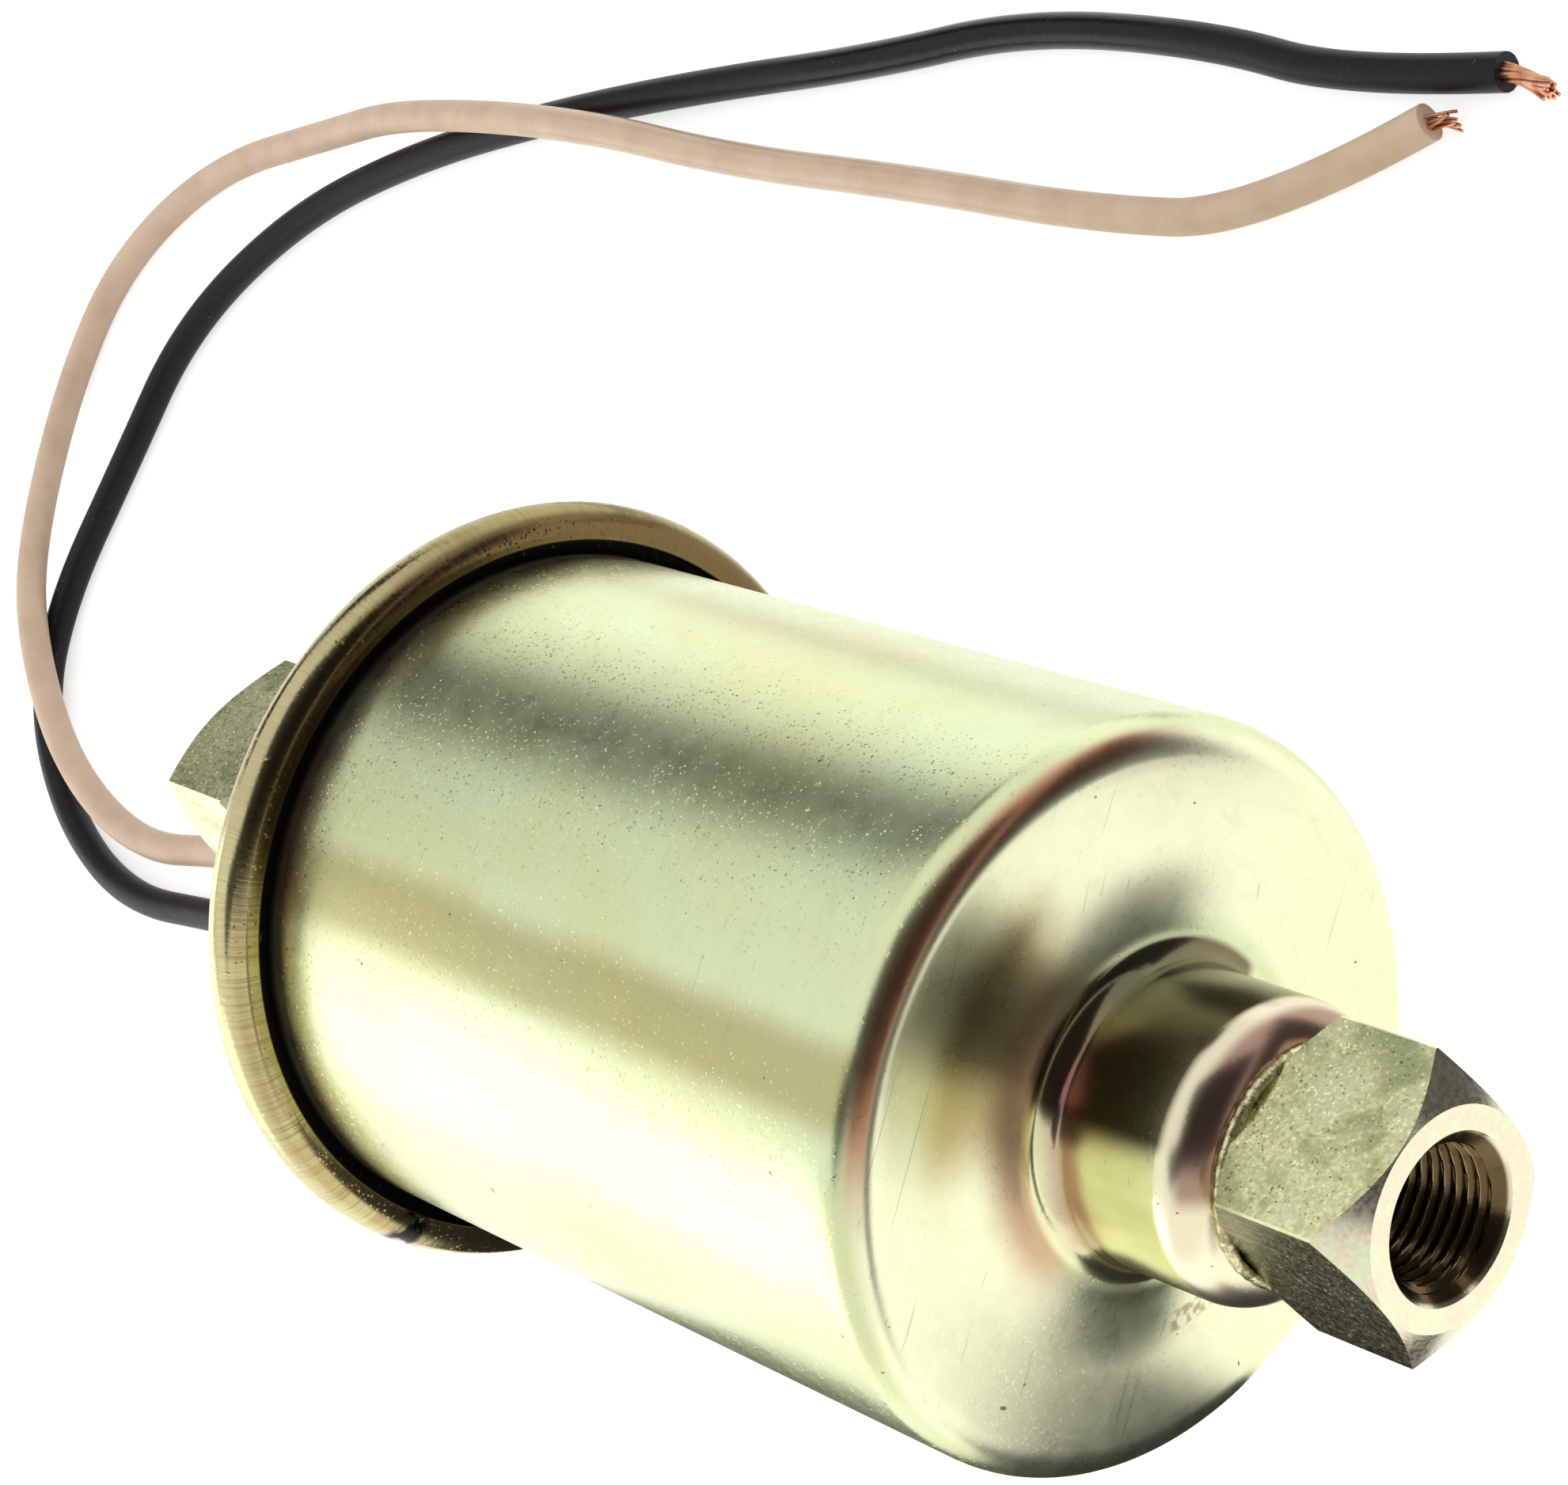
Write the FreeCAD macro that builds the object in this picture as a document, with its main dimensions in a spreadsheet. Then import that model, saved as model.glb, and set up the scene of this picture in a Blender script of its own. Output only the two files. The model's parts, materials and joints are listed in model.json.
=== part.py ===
import FreeCAD, Part
import math
import os
import Sketcher
from FreeCAD import Placement, Rotation, Vector
from types import SimpleNamespace

# Inline solenoid fuel pump, in millimetres.
# The pump's axis is X, with the outlet towards +X and the inlet towards -X, and +Z is up.
# The origin is on the axis, in the middle of the can's straight wall, where a mounting band grips it.

document = FreeCAD.newDocument("inline_fuel_pump")
sheet = document.addObject("Spreadsheet::Sheet", "Sizes")
pieces = []


class Size:
    """A number that also carries the sheet formula it comes from."""

    def __init__(self, number, formula):
        self.number = float(number)
        self.formula = formula

    def __add__(self, other):
        other = as_size(other)
        return Size(self.number + other.number, f"({self.formula} + {other.formula})")

    def __sub__(self, other):
        other = as_size(other)
        return Size(self.number - other.number, f"({self.formula} - {other.formula})")

    def __mul__(self, other):
        other = as_size(other)
        return Size(self.number * other.number, f"({self.formula} * {other.formula})")

    def __truediv__(self, other):
        other = as_size(other)
        return Size(self.number / other.number, f"({self.formula} / {other.formula})")

    def __neg__(self):
        return Size(-self.number, f"(0 - {self.formula})")

    def root(self):
        return Size(math.sqrt(self.number), f"sqrt({self.formula})")


def as_size(value):
    """Let a plain number stand in a formula."""
    if isinstance(value, Size):
        return value
    return Size(value, repr(float(value)))


# Driving dimensions
SIZES = {
    # Can and its neck
    "can_radius": 25.2,  # outside of the drawn can
    "shell_wall": 1.2,  # sheet thickness of the can and the rear cover
    "can_length": 64.9,  # from the seam to the can's front face
    "shoulder_round": 2.5,  # outside round between can wall and front face
    "step_width": 3.5,  # raised step between the flat face and the root round
    "crease_radius": 11.7,  # foot of the neck's root round
    "crease_rise": 1.1,  # height of the raised step round the neck
    "neck_radius": 9.9,  # outside of both necks
    "neck_length": 13.8,  # from the can's front face to its neck's end
    "neck_round": 3.3,  # outside round at the neck's end
    # Rolled seam and rear cover
    "rim_reach": 3.7,  # the rolled rim stands out from the can by this
    "bead_radius": 2.05,  # half the width of the rolled rim
    "lip_gap": 1.1,  # groove between the can and the rolled lip
    "flange_inset": 1.5,  # from the rim's outside to the can's flange inside it
    "seam_clearance": 0.1,  # play round the flange inside the seam
    "gasket_thickness": 0.5,  # seam gasket
    "flange_root": 1.0,  # outside round where a wall turns into its flange
    "cover_depth": 8.2,  # from the seam to the cover's rear face
    "cover_round": 4.2,  # outside round of the dish
    "inlet_neck_length": 19.3,  # from the cover's rear face to its neck's end
    # Square port fittings
    "square_side": 14.29,  # across the flats
    "square_corner": 10.0,  # radius of the turned corners
    "fitting_length": 11.9,  # length of the square
    "ring_radius": 7.05,  # flat ring left by the end chamfers
    "end_chamfer": 2.1,  # length of the end chamfers at the corners
    "port_radius": 4.4,  # bore that carries the pipe thread
    "port_depth": 10.4,  # depth of the threaded bore
    "mouth_radius": 5.45,  # countersunk mouth of the port
    "passage_radius": 3.2,  # fuel passage behind the thread
    "spigot_radius": 5.6,  # spigot brazed into the neck
    "spigot_length": 3.0,  # spigot measured from the neck's end
    "outlet_turn": 16.5,  # degrees from +Y to a corner of the outlet square
    "inlet_turn": 10.6,  # degrees from +Y to a corner of the inlet square
    "braze_radius": 8.0,  # outside of the braze ring
    # Plunger tube and what is in it
    "tube_gap": 1.7,  # between the neck's bore and the brass plunger tube, closed by an O-ring
    "tube_wall": 0.6,  # wall of the plunger tube
    "washer_thickness": 2.0,  # rubber washer between spigot and tube
    "washer_hole": 4.6,  # hole in that washer
    "o_ring_inset": 2.7,  # from the tube's end to the middle of its O-ring
    "screen_length": 2.0,  # rim of the inlet screen
    "screen_rim": 1.0,  # wall of that rim
    "screen_thickness": 0.4,  # woven screen
    "screen_pitch": 1.7,  # spacing of the screen's openings
    "screen_opening": 1.2,  # width of one opening in the screen
    "screen_gap": 4.5,  # from the screen to the inlet valve's seat
    "seat_thickness": 2.5,  # inlet valve seat
    "seat_width": 3.4,  # inlet valve seat, from the tube to its hole
    "disc_thickness": 1.5,  # both valve discs
    "notch_radius": 1.1,  # flow notches round a valve disc
    "cage_length": 7.5,  # inlet valve cage
    "cage_wall": 1.0,  # wall and end of the inlet valve cage
    "bumper_inset": 9.2,  # from the tube's front end to the ring behind the bumper
    "plunger_length": 38.0,  # length of the plunger
    "pocket_wall": 1.13,  # wall of the plunger round its pockets
    "valve_seat_width": 2.0,  # from a pocket's wall to the fuel way through the plunger
    "spring_pocket": 6.0,  # depth of the return spring's pocket
    "valve_pocket": 7.0,  # depth of the plunger valve's pocket
    "retainer_thickness": 1.4,  # ring that keeps the plunger valve in
    "retainer_width": 2.2,  # that ring, from the pocket's wall to its hole
    "retainer_inset": 0.6,  # from the plunger's face to that ring
    "bumper_thickness": 3.0,  # rubber bumper
    "bumper_width": 2.6,  # bumper and the ring behind it, from the tube to their hole
    "bumper_seat_length": 2.5,  # ring that backs the bumper
    "running_clearance": 0.07,  # radial play of what slides
    "return_coil_inset": 0.7,  # from the pocket's wall to the return spring's mean radius
    "return_wire": 0.45,  # wire radius of the return spring
    "return_turns": 8,  # turns of the return spring
    "inlet_coil_inset": 2.2,  # from the cage's wall to the inlet valve spring's mean radius
    "inlet_wire": 0.25,  # wire radius of both valve springs
    "inlet_turns": 3,  # turns of the inlet valve spring
    "valve_coil_inset": 1.2,  # from the pocket's wall to the plunger valve spring's mean radius
    "valve_turns": 2,  # turns of the plunger valve spring
    # Coil and magnet frame
    "frame_place": 4.0,  # from the seam to the rear of the magnet frame
    "front_spacer_length": 11.7,  # spacer between the magnet frame and the can
    "frame_gap": 1.8,  # between the magnet frame and the inside of the cover's dish
    "frame_wall": 1.5,  # wall of the magnet frame
    "pole_thickness": 2.0,  # pole washers
    "bobbin_wall": 1.2,  # core and cheeks of the bobbin
    "bobbin_gap": 1.5,  # between the bobbin's cheeks and the magnet frame
    "winding_inset": 1.4,  # the cheeks stand out from the winding by this
    "slip_clearance": 0.05,  # radial play of what is pushed over the tube
    "tail_radius": 0.4,  # winding's tails
    "tail_hole": 0.9,  # holes for the tails
    "tail_inset": 3.75,  # from the bobbin's core to the winding's tails
    "spacer_wall": 2.2,  # wall of the two spacers
    "board_thickness": 1.6,  # circuit board
    "board_gap": 2.6,  # from the board to the magnet frame
    "board_clearance": 0.2,  # radial play between board and tube
    "ledge_width": 1.4,  # ledge that carries the board
    # Circuit board's components
    "board_margin": 1.3,  # bare edge of the board beside the transistor
    "component_inset": 5.4,  # from the board's edge to the small components
    "capacitor_turn": 20.0,  # degrees from +Y to the capacitor
    "diode_turn": -20.0,  # degrees from +Y to the diode
    "upper_resistor_turn": 160.0,  # degrees from +Y
    "lower_resistor_turn": -165.0,  # degrees from +Y
    "component_lift": 0.3,  # small components stand off the board
    "leg_reach": 1.2,  # wires reach past a component's ends
    "leg_radius": 0.3,  # legs from the wires to the board
    "transistor_thickness": 4.6,  # transistor
    "transistor_width": 8.0,  # transistor
    "transistor_height": 7.0,  # transistor's moulded body
    "tab_thickness": 1.3,  # transistor's metal tab
    "tab_length": 2.2,  # tab past the moulded body
    "capacitor_radius": 2.5,  # capacitor
    "capacitor_length": 6.2,  # capacitor
    "diode_radius": 1.35,  # diode
    "diode_length": 5.2,  # diode
    "resistor_radius": 1.15,  # resistors
    "resistor_length": 4.4,  # resistors
    # Leads
    "lead_radius": 1.5,  # insulation of both leads
    "strand_radius": 0.3,  # one copper strand
    "strand_length": 5.0,  # bared end of the black lead
    "short_strand_length": 2.0,  # bared end of the tan lead
    "grommet_inset": 4.0,  # from the edge of the flat rear face to the grommets
    "grommet_hole": 2.6,  # holes in the cover for the grommets
    "grommet_radius": 3.1,  # heads of the grommets
    "grommet_head": 1.2,  # thickness of a grommet's head
    "exit_run": 25.0,  # straight run from the board out through the grommet
    "tan_lead_turn": -104.0,  # degrees from +Y to the tan lead
    "black_lead_turn": -130.0,  # degrees from +Y to the black lead
}
for row, (alias, number) in enumerate(SIZES.items(), start=1):
    sheet.set(f"A{row}", alias)
    sheet.set(f"B{row}", str(number))
    sheet.setAlias(f"B{row}", alias)
pump = SimpleNamespace(
    **{alias: Size(number, f"Sizes.{alias}") for alias, number in SIZES.items()})
document.recompute()

# Sides of the springs' wire and of the fittings, ways for the fuel round a valve, and the
# screen's openings on each side of its middle one
WIRE_SIDES = 6
FITTING_SIDES = 4
FLOW_WAYS = 6
SCREEN_REACH = 2

# Cutting shapes reach this far past what they cut
CUTTER_MARGIN = 1.0

# Share of the shorter run that each arc of a lead takes, and the strands of a bared end
ARC_SHARE = 0.45
STRANDS_ROUND_CORE = 6
STRAND_SPREAD = 2.1

# Routes of the leads as (x, y, height of the middle above its place on the floor).
# The straight run from the board is worked out. The tan lead crosses over the black one twice.
TAN_ROUTE = [
    (-78, -5.3, 8.6),
    (-98, -9.5, 2.2),
    (-112.9, -11.4, 0),
    (-127.2, -14.3, 0),
    (-138.2, -9.2, 3.1),
    (-150.1, 0.4, 3.1),
    (-155.9, 9.9, 3.1),
    (-162.1, 27, 0),
    (-158.4, 41, 0),
    (-145.5, 52.2, 0),
    (-127.9, 57.2, 0),
    (-111.7, 60, 3.1),
    (-86.1, 61.3, 3.1),
    (-66.2, 60.4, 0.2),
    (-43.9, 60.8, 0),
    (-21.7, 60.4, 0),
    (-4.7, 61.7, 0),
    (9.7, 70.6, 0),
]
BLACK_ROUTE = [
    (-77, -12.2, 10.2),
    (-95, -15.5, 2.6),
    (-111.5, -17.4, 0),
    (-127.1, -19.3, 0),
    (-141, -14.2, 0),
    (-151.2, -4.4, 0),
    (-152.3, 6.8, 0),
    (-147.7, 21.2, 0),
    (-143.3, 36, 0),
    (-129.6, 48.7, 0),
    (-112.2, 56.6, 0),
    (-92, 62.4, 0),
    (-72, 66.8, 0),
    (-52.3, 70.3, 0),
    (-34.8, 74.7, 0),
    (-14, 75.1, 0),
    (0.7, 73.1, 0),
    (15.6, 74.8, 0),
]

# Radii worked out from the driving dimensions, from the can inwards and for the tube
step_radius = pump.crease_radius + pump.step_width
rim_radius = pump.can_radius + pump.rim_reach
lip_radius = pump.can_radius + pump.lip_gap
flange_radius = rim_radius - pump.flange_inset
cover_radius = pump.can_radius - pump.shell_wall
grommet_place = cover_radius - pump.cover_round - pump.grommet_inset
frame_radius = cover_radius - pump.shell_wall - pump.frame_gap
bobbin_radius = frame_radius - pump.frame_wall - pump.bobbin_gap
winding_radius = bobbin_radius - pump.winding_inset
board_radius = frame_radius - pump.spacer_wall
component_place = board_radius - pump.component_inset
neck_bore = pump.neck_radius - pump.shell_wall
tube_radius = neck_bore - pump.tube_gap
tube_bore = tube_radius - pump.tube_wall
coil_bore = tube_radius + pump.slip_clearance
core_radius = coil_bore + pump.bobbin_wall
tail_place = core_radius + pump.tail_inset
cage_bore = tube_bore - pump.cage_wall
inlet_coil = cage_bore - pump.inlet_coil_inset
bumper_hole = tube_bore - pump.bumper_width
plunger_radius = tube_bore - pump.running_clearance
plunger_pocket = plunger_radius - pump.pocket_wall
plunger_bore = plunger_pocket - pump.valve_seat_width
valve_coil = plunger_pocket - pump.valve_coil_inset
return_coil = plunger_pocket - pump.return_coil_inset

# Places worked out from the driving dimensions
wall_start = pump.bead_radius - pump.shell_wall + pump.flange_root
wall_end = pump.can_length - pump.shoulder_round
seam = -(wall_start + wall_end) / 2
front_face = seam + pump.can_length
rear_face = seam - pump.cover_depth
outlet_neck_end = front_face + pump.neck_length
outlet_face = outlet_neck_end + pump.fitting_length
inlet_neck_end = rear_face - pump.inlet_neck_length
inlet_face = inlet_neck_end - pump.fitting_length
tube_front = outlet_neck_end - pump.spigot_length - pump.washer_thickness
tube_rear = inlet_neck_end + pump.spigot_length + pump.washer_thickness
seat_rear = tube_rear + pump.screen_length + pump.screen_gap
seat_front = seat_rear + pump.seat_thickness
disc_front = seat_front + pump.disc_thickness
cage_front = seat_front + pump.cage_length
bumper_front = tube_front - pump.bumper_inset - pump.bumper_seat_length
plunger_face = bumper_front - pump.bumper_thickness
plunger_rear = plunger_face - pump.plunger_length
valve_seat = plunger_face - pump.valve_pocket
retainer_rear = plunger_face - pump.retainer_inset - pump.retainer_thickness
frame_start = seam + pump.frame_place
frame_end = front_face - pump.shell_wall - pump.front_spacer_length
board_front = frame_start - pump.board_gap
board_rear = board_front - pump.board_thickness
cover_inside = rear_face + pump.shell_wall
can_inside = front_face - pump.shell_wall
bobbin_start = frame_start + pump.pole_thickness
bobbin_end = frame_end - pump.pole_thickness


def origin_plane(body, role):
    """Find one of a body's own origin planes."""
    for feature in body.Origin.OriginFeatures:
        if feature.Role == role:
            return feature
    raise ValueError(role)


def arc_geometry(start, end, radius, centre_on_left):
    """Return an arc from start to end, and which of its ends is the start."""
    chord = end - start
    middle = (start + end) * 0.5
    height = math.sqrt(max(radius * radius - chord.Length * chord.Length / 4, 0))
    left = Vector(-chord.y, chord.x, 0).normalize()
    if not centre_on_left:
        left = -left
    centre = middle + left * height
    first, last = (start, end) if centre_on_left else (end, start)
    first_angle = math.atan2(first.y - centre.y, first.x - centre.x)
    last_angle = math.atan2(last.y - centre.y, last.x - centre.x)
    circle = Part.Circle(centre, Vector(0, 0, 1), radius)
    return Part.ArcOfCircle(circle, first_angle, last_angle), centre_on_left


def bind_point(sketch, geometry, end, place, name):
    """Hold one end of a sketch line or arc at its (x, radius) place."""
    for kind, size in (("DistanceX", place[0]), ("DistanceY", place[1])):
        index = sketch.addConstraint(
            Sketcher.Constraint(kind, -1, 1, geometry, end, as_size(size).number))
        sketch.renameConstraint(index, f"{name}{kind[-1]}")
        sketch.setExpression(f"Constraints.{name}{kind[-1]}", as_size(size).formula)


def turned(label, outline):
    """Revolve a closed outline of (x, radius) corners about the pump's axis.

    A corner with a third value is reached by an arc of that radius, and a fourth value says
    on which side of the way the arc's centre lies: "left" or "right".
    """
    body = document.addObject("PartDesign::Body", label)
    body.Label = label
    sketch = body.newObject("Sketcher::SketchObject", f"{label}_outline")
    sketch.AttachmentSupport = [(origin_plane(body, "XY_Plane"), "")]
    sketch.MapMode = "FlatFace"
    corners = [Vector(as_size(c[0]).number, as_size(c[1]).number, 0) for c in outline]
    ends = []
    for index, corner in enumerate(outline):
        start = corners[index - 1]
        end = corners[index]
        if len(corner) == 2:
            ends.append((sketch.addGeometry(Part.LineSegment(start, end)), 1, 2))
            continue
        arc, forward = arc_geometry(start, end, corner[2].number, corner[3] == "left")
        geometry = sketch.addGeometry(arc)
        ends.append((geometry, 1, 2) if forward else (geometry, 2, 1))
    for index, (geometry, first, last) in enumerate(ends):
        next_geometry, next_first, next_last = ends[(index + 1) % len(ends)]
        sketch.addConstraint(
            Sketcher.Constraint("Coincident", geometry, last, next_geometry, next_first))
        bind_point(sketch, geometry, last, outline[index], f"corner{index}")
        if len(outline[index]) > 2:
            radius = outline[index][2]
            round_index = sketch.addConstraint(
                Sketcher.Constraint("Radius", geometry, radius.number))
            sketch.renameConstraint(round_index, f"round{index}")
            sketch.setExpression(f"Constraints.round{index}", radius.formula)
    revolution = body.newObject("PartDesign::Revolution", f"{label}_turned")
    revolution.Profile = sketch
    revolution.ReferenceAxis = (sketch, ["H_Axis"])
    revolution.Angle = 360
    return body


def ring_outline(start, end, inner, outer):
    """Corners of a plain ring's section."""
    return [(start, inner), (start, outer), (end, outer), (end, inner)]


def bind(thing, **formulas):
    """Bind properties of an object to sizes; place_x, place_y and place_z move it."""
    for name, size in formulas.items():
        path = name
        if name.startswith("place_"):
            path = f"Placement.Base.{name[-1]}"
        thing.setExpression(path, as_size(size).formula)


def rod(label, start, length, radius, place_y=0.0, place_z=0.0):
    """A round bar along X."""
    bar = document.addObject("Part::Cylinder", label)
    bar.Placement = Placement(Vector(), Rotation(Vector(0, 1, 0), 90))
    bind(bar, Radius=radius, Height=length, place_x=start, place_y=place_y, place_z=place_z)
    return bar


def block(label, start, size, corner_y, corner_z):
    """A square-edged block, size given as (along X, along Y, along Z)."""
    box = document.addObject("Part::Box", label)
    bind(box, Length=size[0], Width=size[1], Height=size[2])
    bind(box, place_x=start, place_y=corner_y, place_z=corner_z)
    return box


def fuse(label, shapes):
    """Join shapes into one."""
    joined = document.addObject("Part::MultiFuse", label)
    joined.Shapes = shapes
    return joined


def cut(label, base, tool):
    """Cut one shape from another."""
    result = document.addObject("Part::Cut", label)
    result.Base = base
    result.Tool = tool
    return result


def group(label, shapes):
    """Keep separate solids together in one piece."""
    compound = document.addObject("Part::Compound", label)
    compound.Links = shapes
    return compound


def piece(label, shape):
    """Name a finished sub-part and keep it for export."""
    shape.Label = label
    pieces.append((label, shape))
    return shape


def polar(place, turn):
    """Y and Z of a point at a distance from the axis and an angle from +Y, as formulas."""
    angle = math.radians(turn.number)
    cosine = Size(math.cos(angle), f"cos({turn.formula} * 1 deg)")
    sine = Size(math.sin(angle), f"sin({turn.formula} * 1 deg)")
    return place * cosine, place * sine


def holes_round_axis(label, count, span, radius, place):
    """Round bars spaced evenly about the axis, given by (start, length), to cut with."""
    bars = []
    for index in range(count):
        across, upward = polar(place, as_size(360 * index / count))
        bars.append(rod(f"{label}_{index}", span[0], span[1], radius, across, upward))
    return fuse(label, bars)


def neck_corners(face, neck_end, sign, raised):
    """Outside and inside corners of a face and its neck, from the face to the spigot hole."""
    rise = pump.crease_rise if raised else as_size(0)
    root = pump.crease_radius - pump.neck_radius
    side = "left" if sign > 0 else "right"
    other = "right" if sign > 0 else "left"
    outside = []
    inside = []
    if raised:
        outside.append((face, step_radius))
        inside.append((face - pump.shell_wall * sign, step_radius))
    outside.append((face + rise * sign, pump.crease_radius))
    inside.append((face + (rise - pump.shell_wall) * sign, pump.crease_radius))
    outside.append((face + (rise + root) * sign, pump.neck_radius, root, side))
    inside.append((face + (rise + root) * sign, neck_bore, root + pump.shell_wall, side))
    outside.append((neck_end - pump.neck_round * sign, pump.neck_radius))
    inside.append((neck_end - pump.neck_round * sign, neck_bore))
    round_end = pump.neck_radius - pump.neck_round
    round_inside = pump.neck_round - pump.shell_wall
    end_inside = neck_end - pump.shell_wall * sign
    outside.append((neck_end, round_end, pump.neck_round, other))
    inside.append((end_inside, round_end, round_inside, other))
    outside.append((neck_end, pump.spigot_radius))
    inside.append((end_inside, pump.spigot_radius))
    return outside, inside


def backwards(corners):
    """The same corners in the other order, with each arc kept on its own stretch."""
    result = []
    following = ()
    for corner in reversed(corners):
        result.append(corner[:2] + following)
        following = ()
        if len(corner) > 2:
            following = (corner[2], "right" if corner[3] == "left" else "left")
    return result


def make_can():
    """Drawn steel can: flange, wall, shoulder, front face and neck in one sheet."""
    flange_front = seam + pump.bead_radius - pump.shell_wall
    flange_rear = flange_front - pump.shell_wall
    shoulder_inside = pump.shoulder_round - pump.shell_wall
    outside, inside = neck_corners(front_face, outlet_neck_end, 1, True)
    outline = [
        (flange_rear, flange_radius),
        (flange_front, flange_radius),
        (flange_front, pump.can_radius + pump.flange_root),
        (flange_front + pump.flange_root, pump.can_radius, pump.flange_root, "left"),
        (front_face - pump.shoulder_round, pump.can_radius),
        (front_face, pump.can_radius - pump.shoulder_round, pump.shoulder_round, "right"),
    ]
    outline += outside
    outline += backwards(inside)
    outline += [
        (front_face - pump.shell_wall, pump.can_radius - pump.shoulder_round),
        (front_face - pump.shoulder_round, pump.can_radius - pump.shell_wall, shoulder_inside, "left"),
        (flange_front + pump.flange_root, pump.can_radius - pump.shell_wall),
        (flange_rear, pump.can_radius + pump.flange_root, pump.flange_root + pump.shell_wall, "right"),
    ]
    piece("can_housing", turned("can_housing", outline))


def make_cover():
    """Rear cover: dish, neck and the rim that is rolled over the can's flange."""
    plate_rear = seam - pump.bead_radius
    plate_front = plate_rear + pump.shell_wall
    lip_front = seam + pump.bead_radius
    lip_rear = lip_front - pump.shell_wall
    root = cover_radius + pump.flange_root
    dish_inside = cover_radius - pump.shell_wall
    outside, inside = neck_corners(rear_face, inlet_neck_end, -1, False)
    outline = [
        (lip_rear, lip_radius),
        (lip_front, lip_radius),
        (lip_front, rim_radius - pump.bead_radius),
        (seam, rim_radius, pump.bead_radius, "left"),
        (plate_rear, rim_radius - pump.bead_radius, pump.bead_radius, "left"),
        (plate_rear, root),
        (plate_rear - pump.flange_root, cover_radius, pump.flange_root, "right"),
        (rear_face + pump.cover_round, cover_radius),
        (rear_face, cover_radius - pump.cover_round, pump.cover_round, "left"),
    ]
    outline += outside
    outline += backwards(inside)
    outline += [
        (cover_inside, cover_radius - pump.cover_round),
        (rear_face + pump.cover_round, dish_inside, pump.cover_round - pump.shell_wall, "right"),
        (plate_rear - pump.flange_root, dish_inside),
        (plate_front, root, pump.flange_root + pump.shell_wall, "left"),
        (plate_front, flange_radius + pump.seam_clearance),
        (lip_rear, flange_radius + pump.seam_clearance),
    ]
    blank = turned("rear_cover_drawn", outline)
    holes = []
    for index, turn in enumerate((pump.tan_lead_turn, pump.black_lead_turn)):
        across, upward = polar(grommet_place, turn)
        start = rear_face - pump.shell_wall
        length = pump.shell_wall * 3
        holes.append(rod(f"lead_hole_{index}", start, length, pump.grommet_hole, across, upward))
    piece("rear_cover", cut("rear_cover", blank, fuse("lead_holes", holes)))
    gasket = ring_outline(plate_front, plate_front + pump.gasket_thickness, root, flange_radius)
    piece("seam_gasket", turned("seam_gasket", gasket))


def make_fitting(label, neck_end, sign, turn):
    """Square port fitting with turned end chamfers, a threaded bore and a brazed spigot."""
    face = neck_end + pump.fitting_length * sign
    countersink = pump.mouth_radius - pump.port_radius
    drill_end = face - pump.port_depth * sign
    drill_cone = pump.port_radius - pump.passage_radius
    outline = [
        (neck_end, pump.spigot_radius),
        (neck_end, pump.ring_radius),
        (neck_end + pump.end_chamfer * sign, pump.square_corner),
        (face - pump.end_chamfer * sign, pump.square_corner),
        (face, pump.ring_radius),
        (face, pump.mouth_radius),
        (face - countersink * sign, pump.port_radius),
        (drill_end, pump.port_radius),
        (drill_end - drill_cone * sign, pump.passage_radius),
        (neck_end - pump.spigot_length * sign, pump.passage_radius),
        (neck_end - pump.spigot_length * sign, pump.spigot_radius),
    ]
    blank = turned(f"{label}_blank", outline)
    bar = document.addObject("Part::Prism", f"{label}_bar")
    bar.Polygon = FITTING_SIDES
    spin = Rotation(Vector(1, 0, 0), turn.number)
    bar.Placement = Placement(Vector(), spin * Rotation(Vector(0, 1, 0), 90))
    bar_start = neck_end if sign > 0 else face
    bind(bar, Circumradius=pump.square_side / math.sqrt(2))
    bind(bar, Height=pump.fitting_length, place_x=bar_start)
    spigot_start = neck_end - pump.spigot_length
    spigot = rod(f"{label}_spigot", spigot_start, pump.spigot_length * 2, pump.spigot_radius)
    envelope = fuse(f"{label}_envelope", [bar, spigot])
    fitting = document.addObject("Part::Common", label)
    fitting.Base = blank
    fitting.Tool = envelope
    piece(label, fitting)


def make_braze(label, neck_end, sign):
    """Ring of braze metal in the corner between the neck's round and the square's chamfer."""
    rise = pump.braze_radius - pump.neck_radius + pump.neck_round
    drop = pump.neck_round - (pump.neck_round * pump.neck_round - rise * rise).root()
    slope = pump.end_chamfer / (pump.square_corner - pump.ring_radius)
    outline = [
        (neck_end + slope * (pump.braze_radius - pump.ring_radius) * sign, pump.braze_radius),
        (neck_end, pump.ring_radius),
        (neck_end - drop * sign, pump.braze_radius, pump.neck_round, "left" if sign > 0 else "right"),
    ]
    piece(label, turned(label, outline))


def make_tube():
    """Brass plunger tube with its O-rings and end washers."""
    tube = ring_outline(tube_rear, tube_front, tube_bore, tube_radius)
    piece("plunger_tube", turned("plunger_tube", tube))
    section = (neck_bore - tube_radius) / 2
    rings = []
    places = (("rear", tube_rear + pump.o_ring_inset), ("front", tube_front - pump.o_ring_inset))
    for label, place in places:
        ring = document.addObject("Part::Torus", f"o_ring_{label}")
        ring.Placement = Placement(Vector(), Rotation(Vector(0, 1, 0), 90))
        bind(ring, Radius1=tube_radius + section, Radius2=section, place_x=place)
        rings.append(ring)
    piece("tube_o_rings", group("tube_o_rings", rings))
    washers = []
    for label, start in (("rear", tube_rear - pump.washer_thickness), ("front", tube_front)):
        outer = neck_bore - pump.slip_clearance
        outline = ring_outline(start, start + pump.washer_thickness, pump.washer_hole, outer)
        washers.append(turned(f"washer_{label}", outline))
    piece("port_washers", group("port_washers", washers))


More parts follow.
